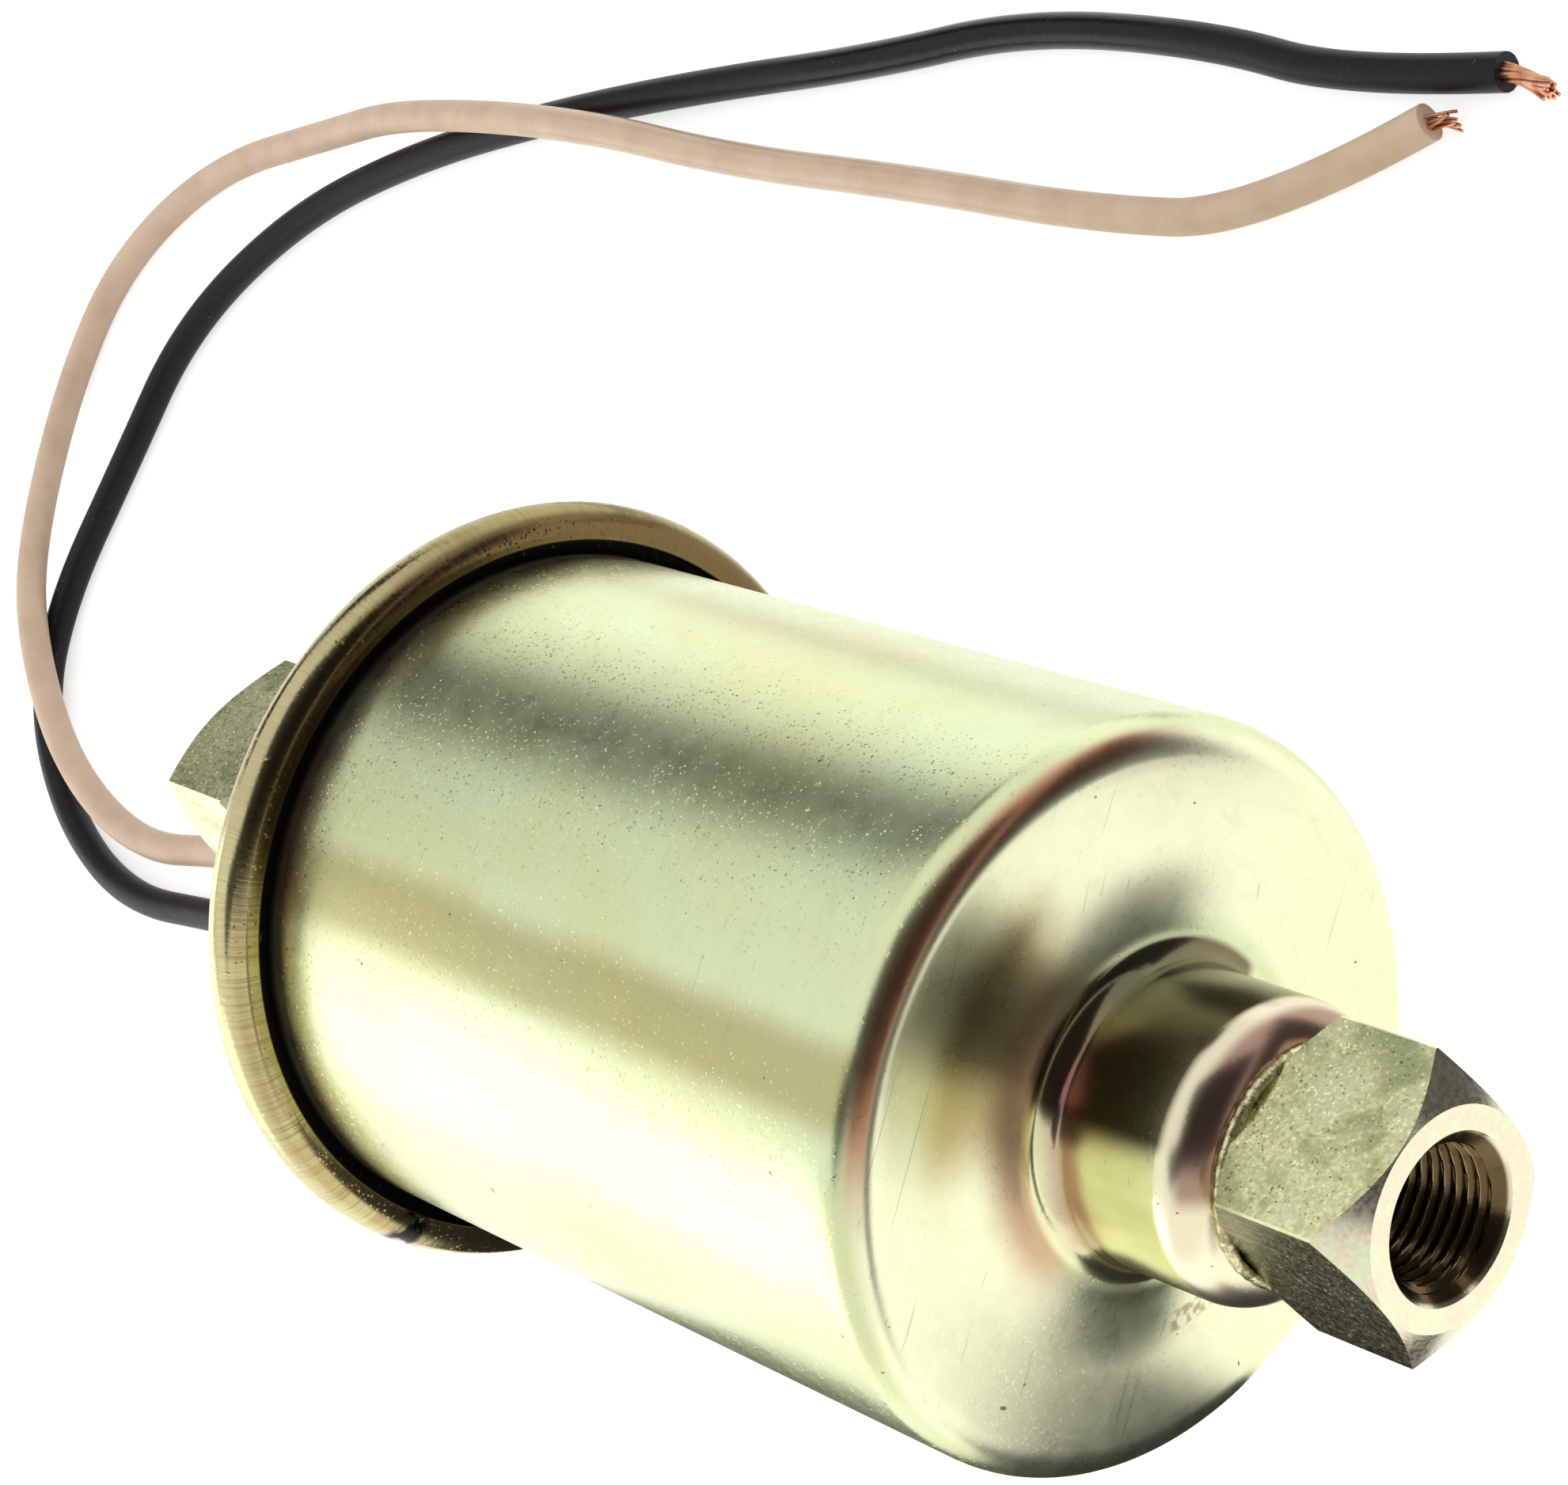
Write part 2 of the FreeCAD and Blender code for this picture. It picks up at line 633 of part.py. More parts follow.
def make_screen():
    """Inlet screen: a rim pressed into the tube that carries a flat screen."""
    screen_end = tube_rear + pump.screen_length
    rim = [
        (tube_rear, tube_bore - pump.screen_rim),
        (tube_rear, tube_bore),
        (screen_end, tube_bore),
        (screen_end, as_size(0)),
        (screen_end - pump.screen_thickness, as_size(0)),
        (screen_end - pump.screen_thickness, tube_bore - pump.screen_rim),
    ]
    blank = turned("filter_screen_blank", rim)
    openings = []
    steps = range(-SCREEN_REACH, SCREEN_REACH + 1)
    for row in steps:
        for column in steps:
            if abs(row) + abs(column) == SCREEN_REACH * 2:
                continue
            corner_y = pump.screen_pitch * column - pump.screen_opening / 2
            corner_z = pump.screen_pitch * row - pump.screen_opening / 2
            size = (pump.screen_length, pump.screen_opening, pump.screen_opening)
            label = f"screen_opening_{row + SCREEN_REACH}{column + SCREEN_REACH}"
            openings.append(block(label, screen_end - pump.screen_length / 2, size, corner_y, corner_z))
    piece("filter_screen", cut("filter_screen", blank, fuse("screen_openings", openings)))


def valve_disc(label, start, radius):
    """Valve disc with flow notches round its edge."""
    disc = rod(f"{label}_blank", start, pump.disc_thickness, radius)
    cutter = (start - CUTTER_MARGIN, pump.disc_thickness + CUTTER_MARGIN * 2)
    notches = holes_round_axis(f"{label}_notch", FLOW_WAYS, cutter, pump.notch_radius, radius)
    return piece(label, cut(label, disc, notches))


def coil_spring(label, span, wound):
    """Spring along X, given by (start, length) and (mean radius, wire radius, turns)."""
    start, length = span
    coil, wire, turns = wound
    helix = document.addObject("Part::Helix", f"{label}_helix")
    helix.Placement = Placement(Vector(), Rotation(Vector(0, 1, 0), 90))
    inner_length = length - wire * 2
    bind(helix, Radius=coil, Height=inner_length, Pitch=inner_length / turns, place_x=start + wire)
    section = document.addObject("Part::RegularPolygon", f"{label}_section")
    section.Polygon = WIRE_SIDES
    section.Placement = Placement(Vector(), Rotation(Vector(1, 0, 0), 90))
    bind(section, Circumradius=wire, place_x=start + wire, place_z=-coil)
    document.recompute()
    sweep = document.addObject("Part::Sweep", label)
    sweep.Sections = [section]
    sweep.Spine = (helix, [f"Edge{index + 1}" for index in range(len(helix.Shape.Edges))])
    sweep.Solid = True
    sweep.Frenet = True
    return piece(label, sweep)


def make_inlet_valve():
    """Seat, disc, cage and spring of the inlet check valve, all inside the tube."""
    seat = ring_outline(seat_rear, seat_front, tube_bore - pump.seat_width, tube_bore)
    piece("inlet_valve_seat", turned("inlet_valve_seat", seat))
    valve_disc("inlet_valve_disc", seat_front, cage_bore - pump.running_clearance)
    end_wall = cage_front - pump.cage_wall
    cage = [
        (seat_front, cage_bore),
        (seat_front, tube_bore),
        (cage_front, tube_bore),
        (cage_front, as_size(0)),
        (end_wall, as_size(0)),
        (end_wall, cage_bore),
    ]
    blank = turned("inlet_valve_cage_blank", cage)
    cutter = (end_wall - CUTTER_MARGIN, pump.cage_wall + CUTTER_MARGIN * 2)
    ports = holes_round_axis("cage_port", FLOW_WAYS, cutter, pump.notch_radius, inlet_coil)
    piece("inlet_valve_cage", cut("inlet_valve_cage", blank, ports))
    span = (disc_front, end_wall - disc_front)
    wound = (inlet_coil, pump.inlet_wire, pump.inlet_turns)
    coil_spring("inlet_valve_spring", span, wound)


def make_plunger():
    """Hollow steel plunger with the valve in its front pocket, and the return spring."""
    pocket_end = plunger_rear + pump.spring_pocket
    outline = [
        (plunger_rear, plunger_pocket),
        (plunger_rear, plunger_radius),
        (plunger_face, plunger_radius),
        (plunger_face, plunger_pocket),
        (valve_seat, plunger_pocket),
        (valve_seat, plunger_bore),
        (pocket_end, plunger_bore),
        (pocket_end, plunger_pocket),
    ]
    piece("plunger", turned("plunger", outline))
    valve_disc("plunger_valve_disc", valve_seat, plunger_pocket - pump.running_clearance)
    retainer_front = retainer_rear + pump.retainer_thickness
    retainer_hole = plunger_pocket - pump.retainer_width
    retainer = ring_outline(retainer_rear, retainer_front, retainer_hole, plunger_pocket)
    piece("plunger_valve_retainer", turned("plunger_valve_retainer", retainer))
    disc_face = valve_seat + pump.disc_thickness
    wound = (valve_coil, pump.inlet_wire, pump.valve_turns)
    coil_spring("plunger_valve_spring", (disc_face, retainer_rear - disc_face), wound)
    wound = (return_coil, pump.return_wire, pump.return_turns)
    coil_spring("return_spring", (cage_front, pocket_end - cage_front), wound)


def make_bumper():
    """Rubber bumper in front of the plunger and the brass ring that backs it."""
    bumper = ring_outline(plunger_face, bumper_front, bumper_hole, tube_bore)
    piece("bumper_ring", turned("bumper_ring", bumper))
    seat_front = bumper_front + pump.bumper_seat_length
    seat = ring_outline(bumper_front, seat_front, bumper_hole, tube_bore)
    piece("bumper_seat", turned("bumper_seat", seat))


def make_coil():
    """Bobbin and winding, and the steel frame that carries the magnetism round them."""
    bobbin = [
        (bobbin_start, coil_bore),
        (bobbin_start, bobbin_radius),
        (bobbin_start + pump.bobbin_wall, bobbin_radius),
        (bobbin_start + pump.bobbin_wall, core_radius),
        (bobbin_end - pump.bobbin_wall, core_radius),
        (bobbin_end - pump.bobbin_wall, bobbin_radius),
        (bobbin_end, bobbin_radius),
        (bobbin_end, coil_bore),
    ]
    blank = turned("coil_bobbin_blank", bobbin)
    cutter = (bobbin_start - CUTTER_MARGIN, pump.bobbin_wall + CUTTER_MARGIN)
    bobbin_holes = tail_bars("bobbin_tail_hole", cutter, pump.tail_hole)
    piece("coil_bobbin", cut("coil_bobbin", blank, bobbin_holes))
    coil_start = bobbin_start + pump.bobbin_wall
    winding = ring_outline(coil_start, bobbin_end - pump.bobbin_wall, core_radius, winding_radius)
    piece("coil_winding", turned("coil_winding", winding))
    inside = frame_radius - pump.frame_wall
    sleeve = ring_outline(frame_start, frame_end, inside, frame_radius)
    piece("magnet_frame", turned("magnet_frame", sleeve))
    rear = turned("rear_pole_blank", ring_outline(frame_start, bobbin_start, coil_bore, inside))
    cutter = (frame_start - CUTTER_MARGIN, pump.pole_thickness + CUTTER_MARGIN * 2)
    washer_holes = tail_bars("washer_tail_hole", cutter, pump.tail_hole)
    piece("rear_pole_washer", cut("rear_pole_washer", rear, washer_holes))
    front = ring_outline(bobbin_end, frame_end, coil_bore, inside)
    piece("front_pole_washer", turned("front_pole_washer", front))
    tails = tail_bars("coil_tails", (board_front, coil_start - board_front), pump.tail_radius, group)
    piece("coil_tails", tails)


def tail_bars(label, span, radius, combine=fuse):
    """Bars, given by (start, length), in the two places where the winding's tails run."""
    bars = []
    for side, place in (("left", tail_place), ("right", -tail_place)):
        bars.append(rod(f"{label}_{side}", span[0], span[1], radius, place))
    return combine(label, bars)


def make_spacers():
    """Moulded rings that hold the magnet frame between the cover, the board and the can."""
    ledge_front = board_front + pump.ledge_width
    rear = [
        (board_rear, board_radius),
        (board_rear, frame_radius),
        (frame_start, frame_radius),
        (frame_start, board_radius),
        (ledge_front, board_radius),
        (ledge_front, board_radius - pump.ledge_width),
        (board_front, board_radius - pump.ledge_width),
        (board_front, board_radius),
    ]
    piece("rear_spacer", turned("rear_spacer", rear))
    front = ring_outline(frame_end, can_inside, board_radius, frame_radius)
    piece("front_spacer", turned("front_spacer", front))


def axial_component(label, size, middle_y, middle_z):
    """Small cylinder of (length, radius) along Z behind the board, with a leg at each end."""
    length, radius = size
    body = document.addObject("Part::Cylinder", f"{label}_body")
    lift = board_rear - radius - pump.component_lift
    bind(body, Radius=radius, Height=length)
    bind(body, place_x=lift, place_y=middle_y, place_z=middle_z - length / 2)
    wire = document.addObject("Part::Cylinder", f"{label}_wire")
    span = length + pump.leg_reach * 2
    bind(wire, Radius=pump.tail_radius, Height=span)
    bind(wire, place_x=lift, place_y=middle_y, place_z=middle_z - span / 2)
    legs = []
    reach = span / 2 - pump.tail_radius
    for end, place in (("low", middle_z - reach), ("high", middle_z + reach)):
        leg_length = board_rear - lift
        legs.append(rod(f"{label}_leg_{end}", lift, leg_length, pump.leg_radius, middle_y, place))
    return fuse(label, [body, wire] + legs)


def make_board():
    """Ring-shaped circuit board and what is soldered to its rear face."""
    bore = tube_radius + pump.board_clearance
    board = ring_outline(board_rear, board_front, bore, board_radius)
    piece("circuit_board", turned("circuit_board", board))
    start = board_rear - pump.transistor_thickness
    size = (pump.transistor_thickness, pump.transistor_width, pump.transistor_height)
    body = block("transistor_body", start, size, -pump.transistor_width / 2, bore + pump.board_margin)
    tab_size = (pump.tab_thickness, pump.transistor_width, pump.transistor_height + pump.tab_length)
    tab = block("transistor_tab", start, tab_size, -pump.transistor_width / 2, bore + pump.board_margin)
    piece("transistor", fuse("transistor", [body, tab]))
    length = pump.capacitor_length
    across, upward = polar(component_place, pump.capacitor_turn)
    can = rod("capacitor", board_rear - length, length, pump.capacitor_radius, across, upward)
    piece("capacitor", can)
    across, upward = polar(component_place, pump.diode_turn)
    size = (pump.diode_length, pump.diode_radius)
    piece("diode", axial_component("diode", size, across, upward))
    resistors = []
    turns = (("resistor_upper", pump.upper_resistor_turn), ("resistor_lower", pump.lower_resistor_turn))
    for label, turn in turns:
        across, upward = polar(component_place, turn)
        size = (pump.resistor_length, pump.resistor_radius)
        resistors.append(axial_component(label, size, across, upward))
    piece("resistors", group("resistors", resistors))


def make_grommets():
    """Rubber grommets that seat in the cover's two lead holes."""
    bore = pump.lead_radius + pump.slip_clearance
    rear = rear_face - pump.grommet_head
    outline = [
        (rear, bore),
        (rear, pump.grommet_radius),
        (rear_face, pump.grommet_radius),
        (rear_face, pump.grommet_hole),
        (cover_inside, pump.grommet_hole),
        (cover_inside, pump.grommet_radius),
        (cover_inside + pump.grommet_head, pump.grommet_radius),
        (cover_inside + pump.grommet_head, bore),
    ]
    grommets = []
    for name, turn in (("tan", pump.tan_lead_turn), ("black", pump.black_lead_turn)):
        across, upward = polar(grommet_place, turn)
        grommet = turned(f"grommet_{name}", outline)
        bind(grommet, place_y=across, place_z=upward)
        grommets.append(grommet)
    piece("lead_grommets", group("lead_grommets", grommets))


def lead_path(label, points):
    """Straight runs joined by tangent arcs, each as large as its two runs allow."""
    edges = []
    radii = []
    start = points[0]
    for before, corner, after in zip(points, points[1:], points[2:]):
        incoming = corner - before
        outgoing = after - corner
        setback = ARC_SHARE * min(incoming.Length, outgoing.Length)
        half_turn = incoming.getAngle(outgoing) / 2
        radius = setback / math.tan(half_turn)
        incoming.normalize()
        outgoing.normalize()
        first = corner - incoming * setback
        last = corner + outgoing * setback
        inward = (outgoing - incoming).normalize()
        middle = corner + inward * (radius / math.cos(half_turn) - radius)
        edges.append(Part.LineSegment(start, first).toShape())
        edges.append(Part.Arc(first, middle, last).toShape())
        radii.append(radius)
        start = last
    edges.append(Part.LineSegment(start, points[-1]).toShape())
    print(label, "bend radii", [round(radius, 1) for radius in radii])
    return Part.Wire(edges)


def make_lead(label, turn, route, bare_length):
    """One insulated lead from the board, through its grommet, to its bared end."""
    across, upward = polar(grommet_place, turn)
    radius = pump.lead_radius.number
    floor = radius - rim_radius.number
    solder = Vector(board_rear.number, across.number, upward.number)
    points = [solder, solder - Vector(pump.exit_run.number, 0, 0)]
    points += [Vector(x, y, floor + height) for x, y, height in route]
    path = lead_path(label, points)
    section = Part.Wire(Part.Circle(points[0], points[1] - points[0], radius).toShape())
    insulation = document.addObject("Part::Feature", label)
    insulation.Shape = path.makePipeShell([section], True, False)
    piece(label, insulation)
    expected = math.pi * radius * radius * path.Length
    ratio = insulation.Shape.Volume / expected
    print(label, "length", round(path.Length, 1), "volume ratio", round(ratio, 4))
    end = points[-1]
    direction = (end - points[-2]).normalize()
    sideways = direction.cross(Vector(0, 0, 1)).normalize()
    upwards = sideways.cross(direction)
    strand = pump.strand_radius.number
    ring = strand * STRAND_SPREAD
    strands = [Part.makeCylinder(strand, bare_length.number, end, direction)]
    for index in range(STRANDS_ROUND_CORE):
        angle = 2 * math.pi * index / STRANDS_ROUND_CORE
        place = end + sideways * (ring * math.cos(angle)) + upwards * (ring * math.sin(angle))
        strands.append(Part.makeCylinder(strand, bare_length.number, place, direction))
    bundle = document.addObject("Part::Feature", f"{label}_strands")
    bundle.Shape = Part.makeCompound(strands)
    piece(f"{label}_strands", bundle)


def export_pieces():
    """Check every object and write one file for each sub-part."""
    document.recompute()
    for thing in document.Objects:
        if "Invalid" in thing.State or "Error" in thing.State:
            raise RuntimeError(f"{thing.Name} failed: {thing.State}")
    for label, shape in pieces:
        if shape.Shape.isNull() or not shape.Shape.isValid():
            raise RuntimeError(f"{label} has no valid shape")
    os.makedirs("parts", exist_ok=True)
    for label, shape in pieces:
        shape.Shape.exportStep(f"parts/{label}.step")
    print(len(pieces), "sub-parts written")


make_can()
make_cover()
make_fitting("outlet_fitting", outlet_neck_end, 1, pump.outlet_turn)
make_fitting("inlet_fitting", inlet_neck_end, -1, pump.inlet_turn)
make_braze("outlet_braze_ring", outlet_neck_end, 1)
make_braze("inlet_braze_ring", inlet_neck_end, -1)
make_tube()
make_screen()
make_inlet_valve()
make_plunger()
make_bumper()
make_coil()
make_spacers()
make_board()
make_grommets()
make_lead("tan_lead", pump.tan_lead_turn, TAN_ROUTE, pump.short_strand_length)
make_lead("black_lead", pump.black_lead_turn, BLACK_ROUTE, pump.strand_length)
export_pieces()
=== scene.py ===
import bmesh
import bpy
import json
import math
import random
from mathutils import Matrix, Vector, noise

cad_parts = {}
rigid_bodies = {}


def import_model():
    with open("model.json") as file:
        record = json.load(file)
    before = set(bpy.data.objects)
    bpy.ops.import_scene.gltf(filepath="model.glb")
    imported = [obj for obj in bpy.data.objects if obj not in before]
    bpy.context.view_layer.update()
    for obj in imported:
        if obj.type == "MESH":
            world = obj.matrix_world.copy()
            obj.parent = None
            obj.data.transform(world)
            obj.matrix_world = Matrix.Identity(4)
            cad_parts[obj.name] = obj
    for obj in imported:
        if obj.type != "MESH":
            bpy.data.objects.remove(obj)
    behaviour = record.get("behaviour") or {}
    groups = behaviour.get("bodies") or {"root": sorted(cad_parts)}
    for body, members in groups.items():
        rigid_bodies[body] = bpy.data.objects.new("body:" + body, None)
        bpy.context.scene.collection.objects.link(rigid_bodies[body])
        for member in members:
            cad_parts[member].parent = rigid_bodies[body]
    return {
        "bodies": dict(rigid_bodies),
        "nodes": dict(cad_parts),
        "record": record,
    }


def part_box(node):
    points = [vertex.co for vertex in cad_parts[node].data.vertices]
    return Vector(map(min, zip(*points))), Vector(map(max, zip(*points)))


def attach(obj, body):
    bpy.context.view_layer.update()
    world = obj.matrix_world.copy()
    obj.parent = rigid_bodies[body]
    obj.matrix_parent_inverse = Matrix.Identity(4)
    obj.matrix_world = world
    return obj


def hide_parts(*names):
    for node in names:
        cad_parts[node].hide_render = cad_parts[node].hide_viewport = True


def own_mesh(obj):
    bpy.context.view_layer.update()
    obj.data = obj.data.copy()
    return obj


# Inline fuel pump on a white table, in metres, in the part's own frame:
# +X along the pump's axis towards the outlet, +Z up.
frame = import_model()
from_cad = set(frame["nodes"].values()) | set(frame["bodies"].values())
for thing in list(bpy.data.objects):
    if thing not in from_cad:
        bpy.data.objects.remove(thing)
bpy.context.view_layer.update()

# Photograph and its camera, measured from the pump's outlines
IMAGE_WIDTH = 1981
IMAGE_HEIGHT = 1876
FOCAL_PIXELS = 5209.93
PRINCIPAL_X = 1084.94
PRINCIPAL_Y = 783.43
SENSOR_WIDTH = 36.0
CAMERA_PLACE = Vector((0.20990, 0.02512, 0.19555))
CAMERA_RIGHT = Vector((0.6492, 0.2591, -0.7151))
CAMERA_UP = Vector((-0.1742, 0.9658, 0.1919))

# Sizes that the looks share with the CAD
CAN_RADIUS = 0.0252
SHEET = 0.0012
SHOULDER_ROUND = 0.0025
FLANGE_RADIUS = 0.0274
NECK_RADIUS = 0.0099
NECK_LENGTH = 0.0138
NECK_ROUND = 0.0033
CREASE_RADIUS = 0.0117
STEP_RISE = 0.0011
CURVE_RADIUS = 0.0175
SPIGOT_RADIUS = 0.0056
LIP_RADIUS = 0.0263
RIM_RADIUS = 0.0289
BEAD_RADIUS = 0.00205
SEAM = -0.032125
FRONT_FACE = 0.032775
MOUTH_RADIUS = 0.00545
PORT_RADIUS = 0.0044
PORT_DEPTH = 0.0104
THREAD_ROOT = 0.00492
THREAD_PITCH = 0.000941
LEAD_DIAMETER = 0.003
FLOOR = -RIM_RADIUS

# Slack in tests on the CAD's vertices, and height of the flat cards above the table
TOLERANCE = 1e-5
CARD_LIFT = 0.0004

# Near-black colour in the grooves of the seam
GROOVE_BLACK = (0.020, 0.018, 0.012)
GROOVE_ROUGHNESS = 0.6

# Turn from one strand to the next that spreads them evenly over a round bundle
GOLDEN_ANGLE = 2.39996

# Routes of the leads, as in the part's source, with their heights from the axis
TAN_ROUTE = [
    (-0.032325, -0.003822, -0.015331),
    (-0.057325, -0.003822, -0.015331),
    (-0.078, -0.0053, -0.0188),
    (-0.098, -0.0095, -0.0252),
    (-0.1129, -0.0114, -0.0274),
    (-0.1272, -0.0143, -0.0274),
    (-0.1382, -0.0092, -0.0243),
    (-0.1501, 0.0004, -0.0243),
    (-0.1559, 0.0099, -0.0243),
    (-0.1621, 0.027, -0.0274),
    (-0.1584, 0.041, -0.0274),
    (-0.1455, 0.0522, -0.0274),
    (-0.1279, 0.0572, -0.0274),
    (-0.1117, 0.06, -0.0243),
    (-0.0861, 0.0613, -0.0243),
    (-0.0662, 0.0604, -0.0272),
    (-0.0439, 0.0608, -0.0274),
    (-0.0217, 0.0604, -0.0274),
    (-0.0047, 0.0617, -0.0274),
    (0.0097, 0.0706, -0.0274),
]
BLACK_ROUTE = [
    (-0.032325, -0.010156, -0.012104),
    (-0.057325, -0.010156, -0.012104),
    (-0.077, -0.0122, -0.0172),
    (-0.095, -0.0155, -0.0248),
    (-0.1115, -0.0174, -0.0274),
    (-0.1271, -0.0193, -0.0274),
    (-0.141, -0.0142, -0.0274),
    (-0.1512, -0.0044, -0.0274),
    (-0.1523, 0.0068, -0.0274),
    (-0.1477, 0.0212, -0.0274),
    (-0.1433, 0.036, -0.0274),
    (-0.1296, 0.0487, -0.0274),
    (-0.1122, 0.0566, -0.0274),
    (-0.092, 0.0624, -0.0274),
    (-0.072, 0.0668, -0.0274),
    (-0.0523, 0.0703, -0.0274),
    (-0.0348, 0.0747, -0.0274),
    (-0.014, 0.0751, -0.0274),
    (0.0007, 0.0731, -0.0274),
    (0.0156, 0.0748, -0.0274),
]


def add_object(name, data):
    """Put new data in the scene under a name."""
    made = bpy.data.objects.new(name, data)
    bpy.context.scene.collection.objects.link(made)
    return made


def mesh_piece(name, vertices, faces, smooth_angle=math.radians(35)):
    """A mesh object, shaded smooth except at edges sharper than the angle."""
    mesh = bpy.data.meshes.new(name)
    mesh.from_pydata(vertices, [], faces)
    mesh.validate()
    mesh.shade_smooth()
    mesh.set_sharp_from_angle(angle=smooth_angle)
    return add_object(name, mesh)


def put(tree, socket, value):
    """Link a socket to another, or set its number or colour."""
    if isinstance(value, bpy.types.NodeSocket):
        tree.links.new(value, socket)
    elif isinstance(value, tuple) and socket.type == "RGBA":
        socket.default_value = value + (1.0,)
    else:
        socket.default_value = value


def add_node(tree, kind, inputs, **settings):
    """Add a node with its settings, and link or set its inputs by number or name."""
    made = tree.nodes.new(kind)
    for key, value in settings.items():
        setattr(made, key, value)
    for key, value in inputs.items():
        put(tree, made.inputs[key], value)
    return made


def seen_rays(tree):
    """1 for rays of the camera, in reflections and through glass, 0 for all others."""
    rays = add_node(tree, "ShaderNodeLightPath", {}).outputs
    seen = rays["Is Camera Ray"]
    for kind in ("Is Glossy Ray", "Is Transmission Ray"):
        either = add_node(tree, "ShaderNodeMath", {0: seen, 1: rays[kind]}, operation="MAXIMUM")
        seen = either.outputs[0]
    return seen


def ring_faces(rows, columns, closed=True):
    """Quads over rows of vertices, each row a ring; closed joins the last row to the first."""
    faces = []
    for row in range(rows if closed else rows - 1):
        next_row = (row + 1) % rows
        for column in range(columns):
            next_column = (column + 1) % columns
            faces.append((row * columns + column, row * columns + next_column,
                          next_row * columns + next_column, next_row * columns + column))
    return faces


class Look:
    """A node material while it is being built."""

    def __init__(self, name):
        self.material = bpy.data.materials.new(name)
        self.material.use_nodes = True
        self.tree = self.material.node_tree
        self.surface = self.tree.nodes["Principled BSDF"]
        self.place = self.node("ShaderNodeTexCoord", {}).outputs["Object"]
        parts = self.node("ShaderNodeSeparateXYZ", {0: self.place}).outputs
        self.x, self.y, self.z = parts[0], parts[1], parts[2]
        # Angle round the axis, from +Y towards +Z, and distance from it
        self.angle = self.compute("ARCTAN2", self.z, self.y)
        square = self.compute("ADD", self.times(self.y, self.y), self.times(self.z, self.z))
        self.radius = self.compute("SQRT", square)

    def node(self, kind, inputs, **settings):
        """Add a node to this material."""
        return add_node(self.tree, kind, inputs, **settings)

    def set(self, **inputs):
        """Set sockets of the surface shader, with _ for a space in a socket's name."""
        for key, value in inputs.items():
            put(self.tree, self.surface.inputs[key.replace("_", " ")], value)

    def compute(self, operation, first, second=0.0):
        """One operation of the Math node."""
        return self.node("ShaderNodeMath", {0: first, 1: second}, operation=operation).outputs[0]

    def times(self, first, second):
        """The product of two numbers."""
        return self.compute("MULTIPLY", first, second)

    def vector(self, x, y, z):
        """Three numbers as a vector."""
        return self.node("ShaderNodeCombineXYZ", {0: x, 1: y, 2: z}).outputs[0]

    def noise(self, scale, detail=2.0, roughness=0.5, place=None, warp=0.0):
        """Cloudy noise with scale blobs to the metre."""
        inputs = {"Vector": place or self.place, "Scale": scale, "Detail": detail,
                  "Roughness": roughness, "Distortion": warp}
        return self.node("ShaderNodeTexNoise", inputs).outputs["Fac"]

    def step(self, value, low, high):
        """0 below low and 1 above high, smooth between; the other way round if low is higher."""
        inputs = {"Value": value, "From Min": min(low, high), "From Max": max(low, high),
                  "To Min": 0.0 if low < high else 1.0, "To Max": 1.0 if low < high else 0.0}
        return self.node("ShaderNodeMapRange", inputs, interpolation_type="SMOOTHSTEP").outputs[0]

    def band(self, value, low, high, soft):
        """1 between low and high, falling to 0 over the soft width outside them."""
        rise = self.step(value, low - soft, low)
        return self.times(rise, self.step(value, high + soft, high))

    def mix(self, share, first, second):
        """Mix two colours."""
        made = self.node("ShaderNodeMix", {0: share, 6: first, 7: second}, data_type="RGBA")
        return made.outputs[2]

    def tint(self, colour, mask, share, tone):
        """Lay a share of another tone over a colour, inside a mask."""
        return self.mix(self.times(mask, share), colour, tone)

    def blend(self, share, first, second):
        """Mix two numbers."""
        return self.node("ShaderNodeMix", {0: share, 2: first, 3: second}).outputs[0]

    def bump(self, height, distance, strength, normal=None):
        """The surface's normal, or another, tipped by a height."""
        inputs = {"Height": height, "Distance": distance, "Strength": strength}
        if normal:
            inputs["Normal"] = normal
        return self.node("ShaderNodeBump", inputs).outputs[0]

    def glitter(self, cell, tilt, share):
        """The surface's normal, tipped at random in a share of small cells."""
        cells = self.node("ShaderNodeTexVoronoi", {"Vector": self.place, "Scale": 1 / cell})
        colour = cells.outputs["Color"]
        level = self.node("ShaderNodeSeparateColor", {0: colour}).outputs[2]
        soft = 0.02
        strength = self.times(self.step(level, 1 - share, 1 - share + soft), tilt)
        centred = self.node("ShaderNodeVectorMath", {0: colour, 1: (0.5, 0.5, 0.5)},
                            operation="SUBTRACT").outputs[0]
        turned = self.node("ShaderNodeVectorMath", {0: centred, "Scale": strength},
                           operation="SCALE").outputs[0]
        normal = self.node("ShaderNodeNewGeometry", {}).outputs["Normal"]
        total = self.node("ShaderNodeVectorMath", {0: normal, 1: turned}, operation="ADD")
        made = self.node("ShaderNodeVectorMath", {0: total.outputs[0]}, operation="NORMALIZE")
        return made.outputs[0]

    def round_axis(self, along, around):
        """A place that stretches textures along the axis (x) and round it."""
        return self.vector(self.times(self.x, along),
                           self.times(self.angle, around),
                           self.times(self.radius, along))

    def scratches(self, scale, stretch, turn, level):
        """Short hairlines that run across the axis at an angle."""
        soft = 0.03
        inputs = {"Vector": self.place, "Rotation": (turn, turn * 0.6, turn * 1.7),
                  "Scale": (scale, scale / stretch, scale)}
        turned = self.node("ShaderNodeMapping", inputs).outputs[0]
        return self.step(self.noise(1.0, 1.0, 0.4, turned), level, level + soft)


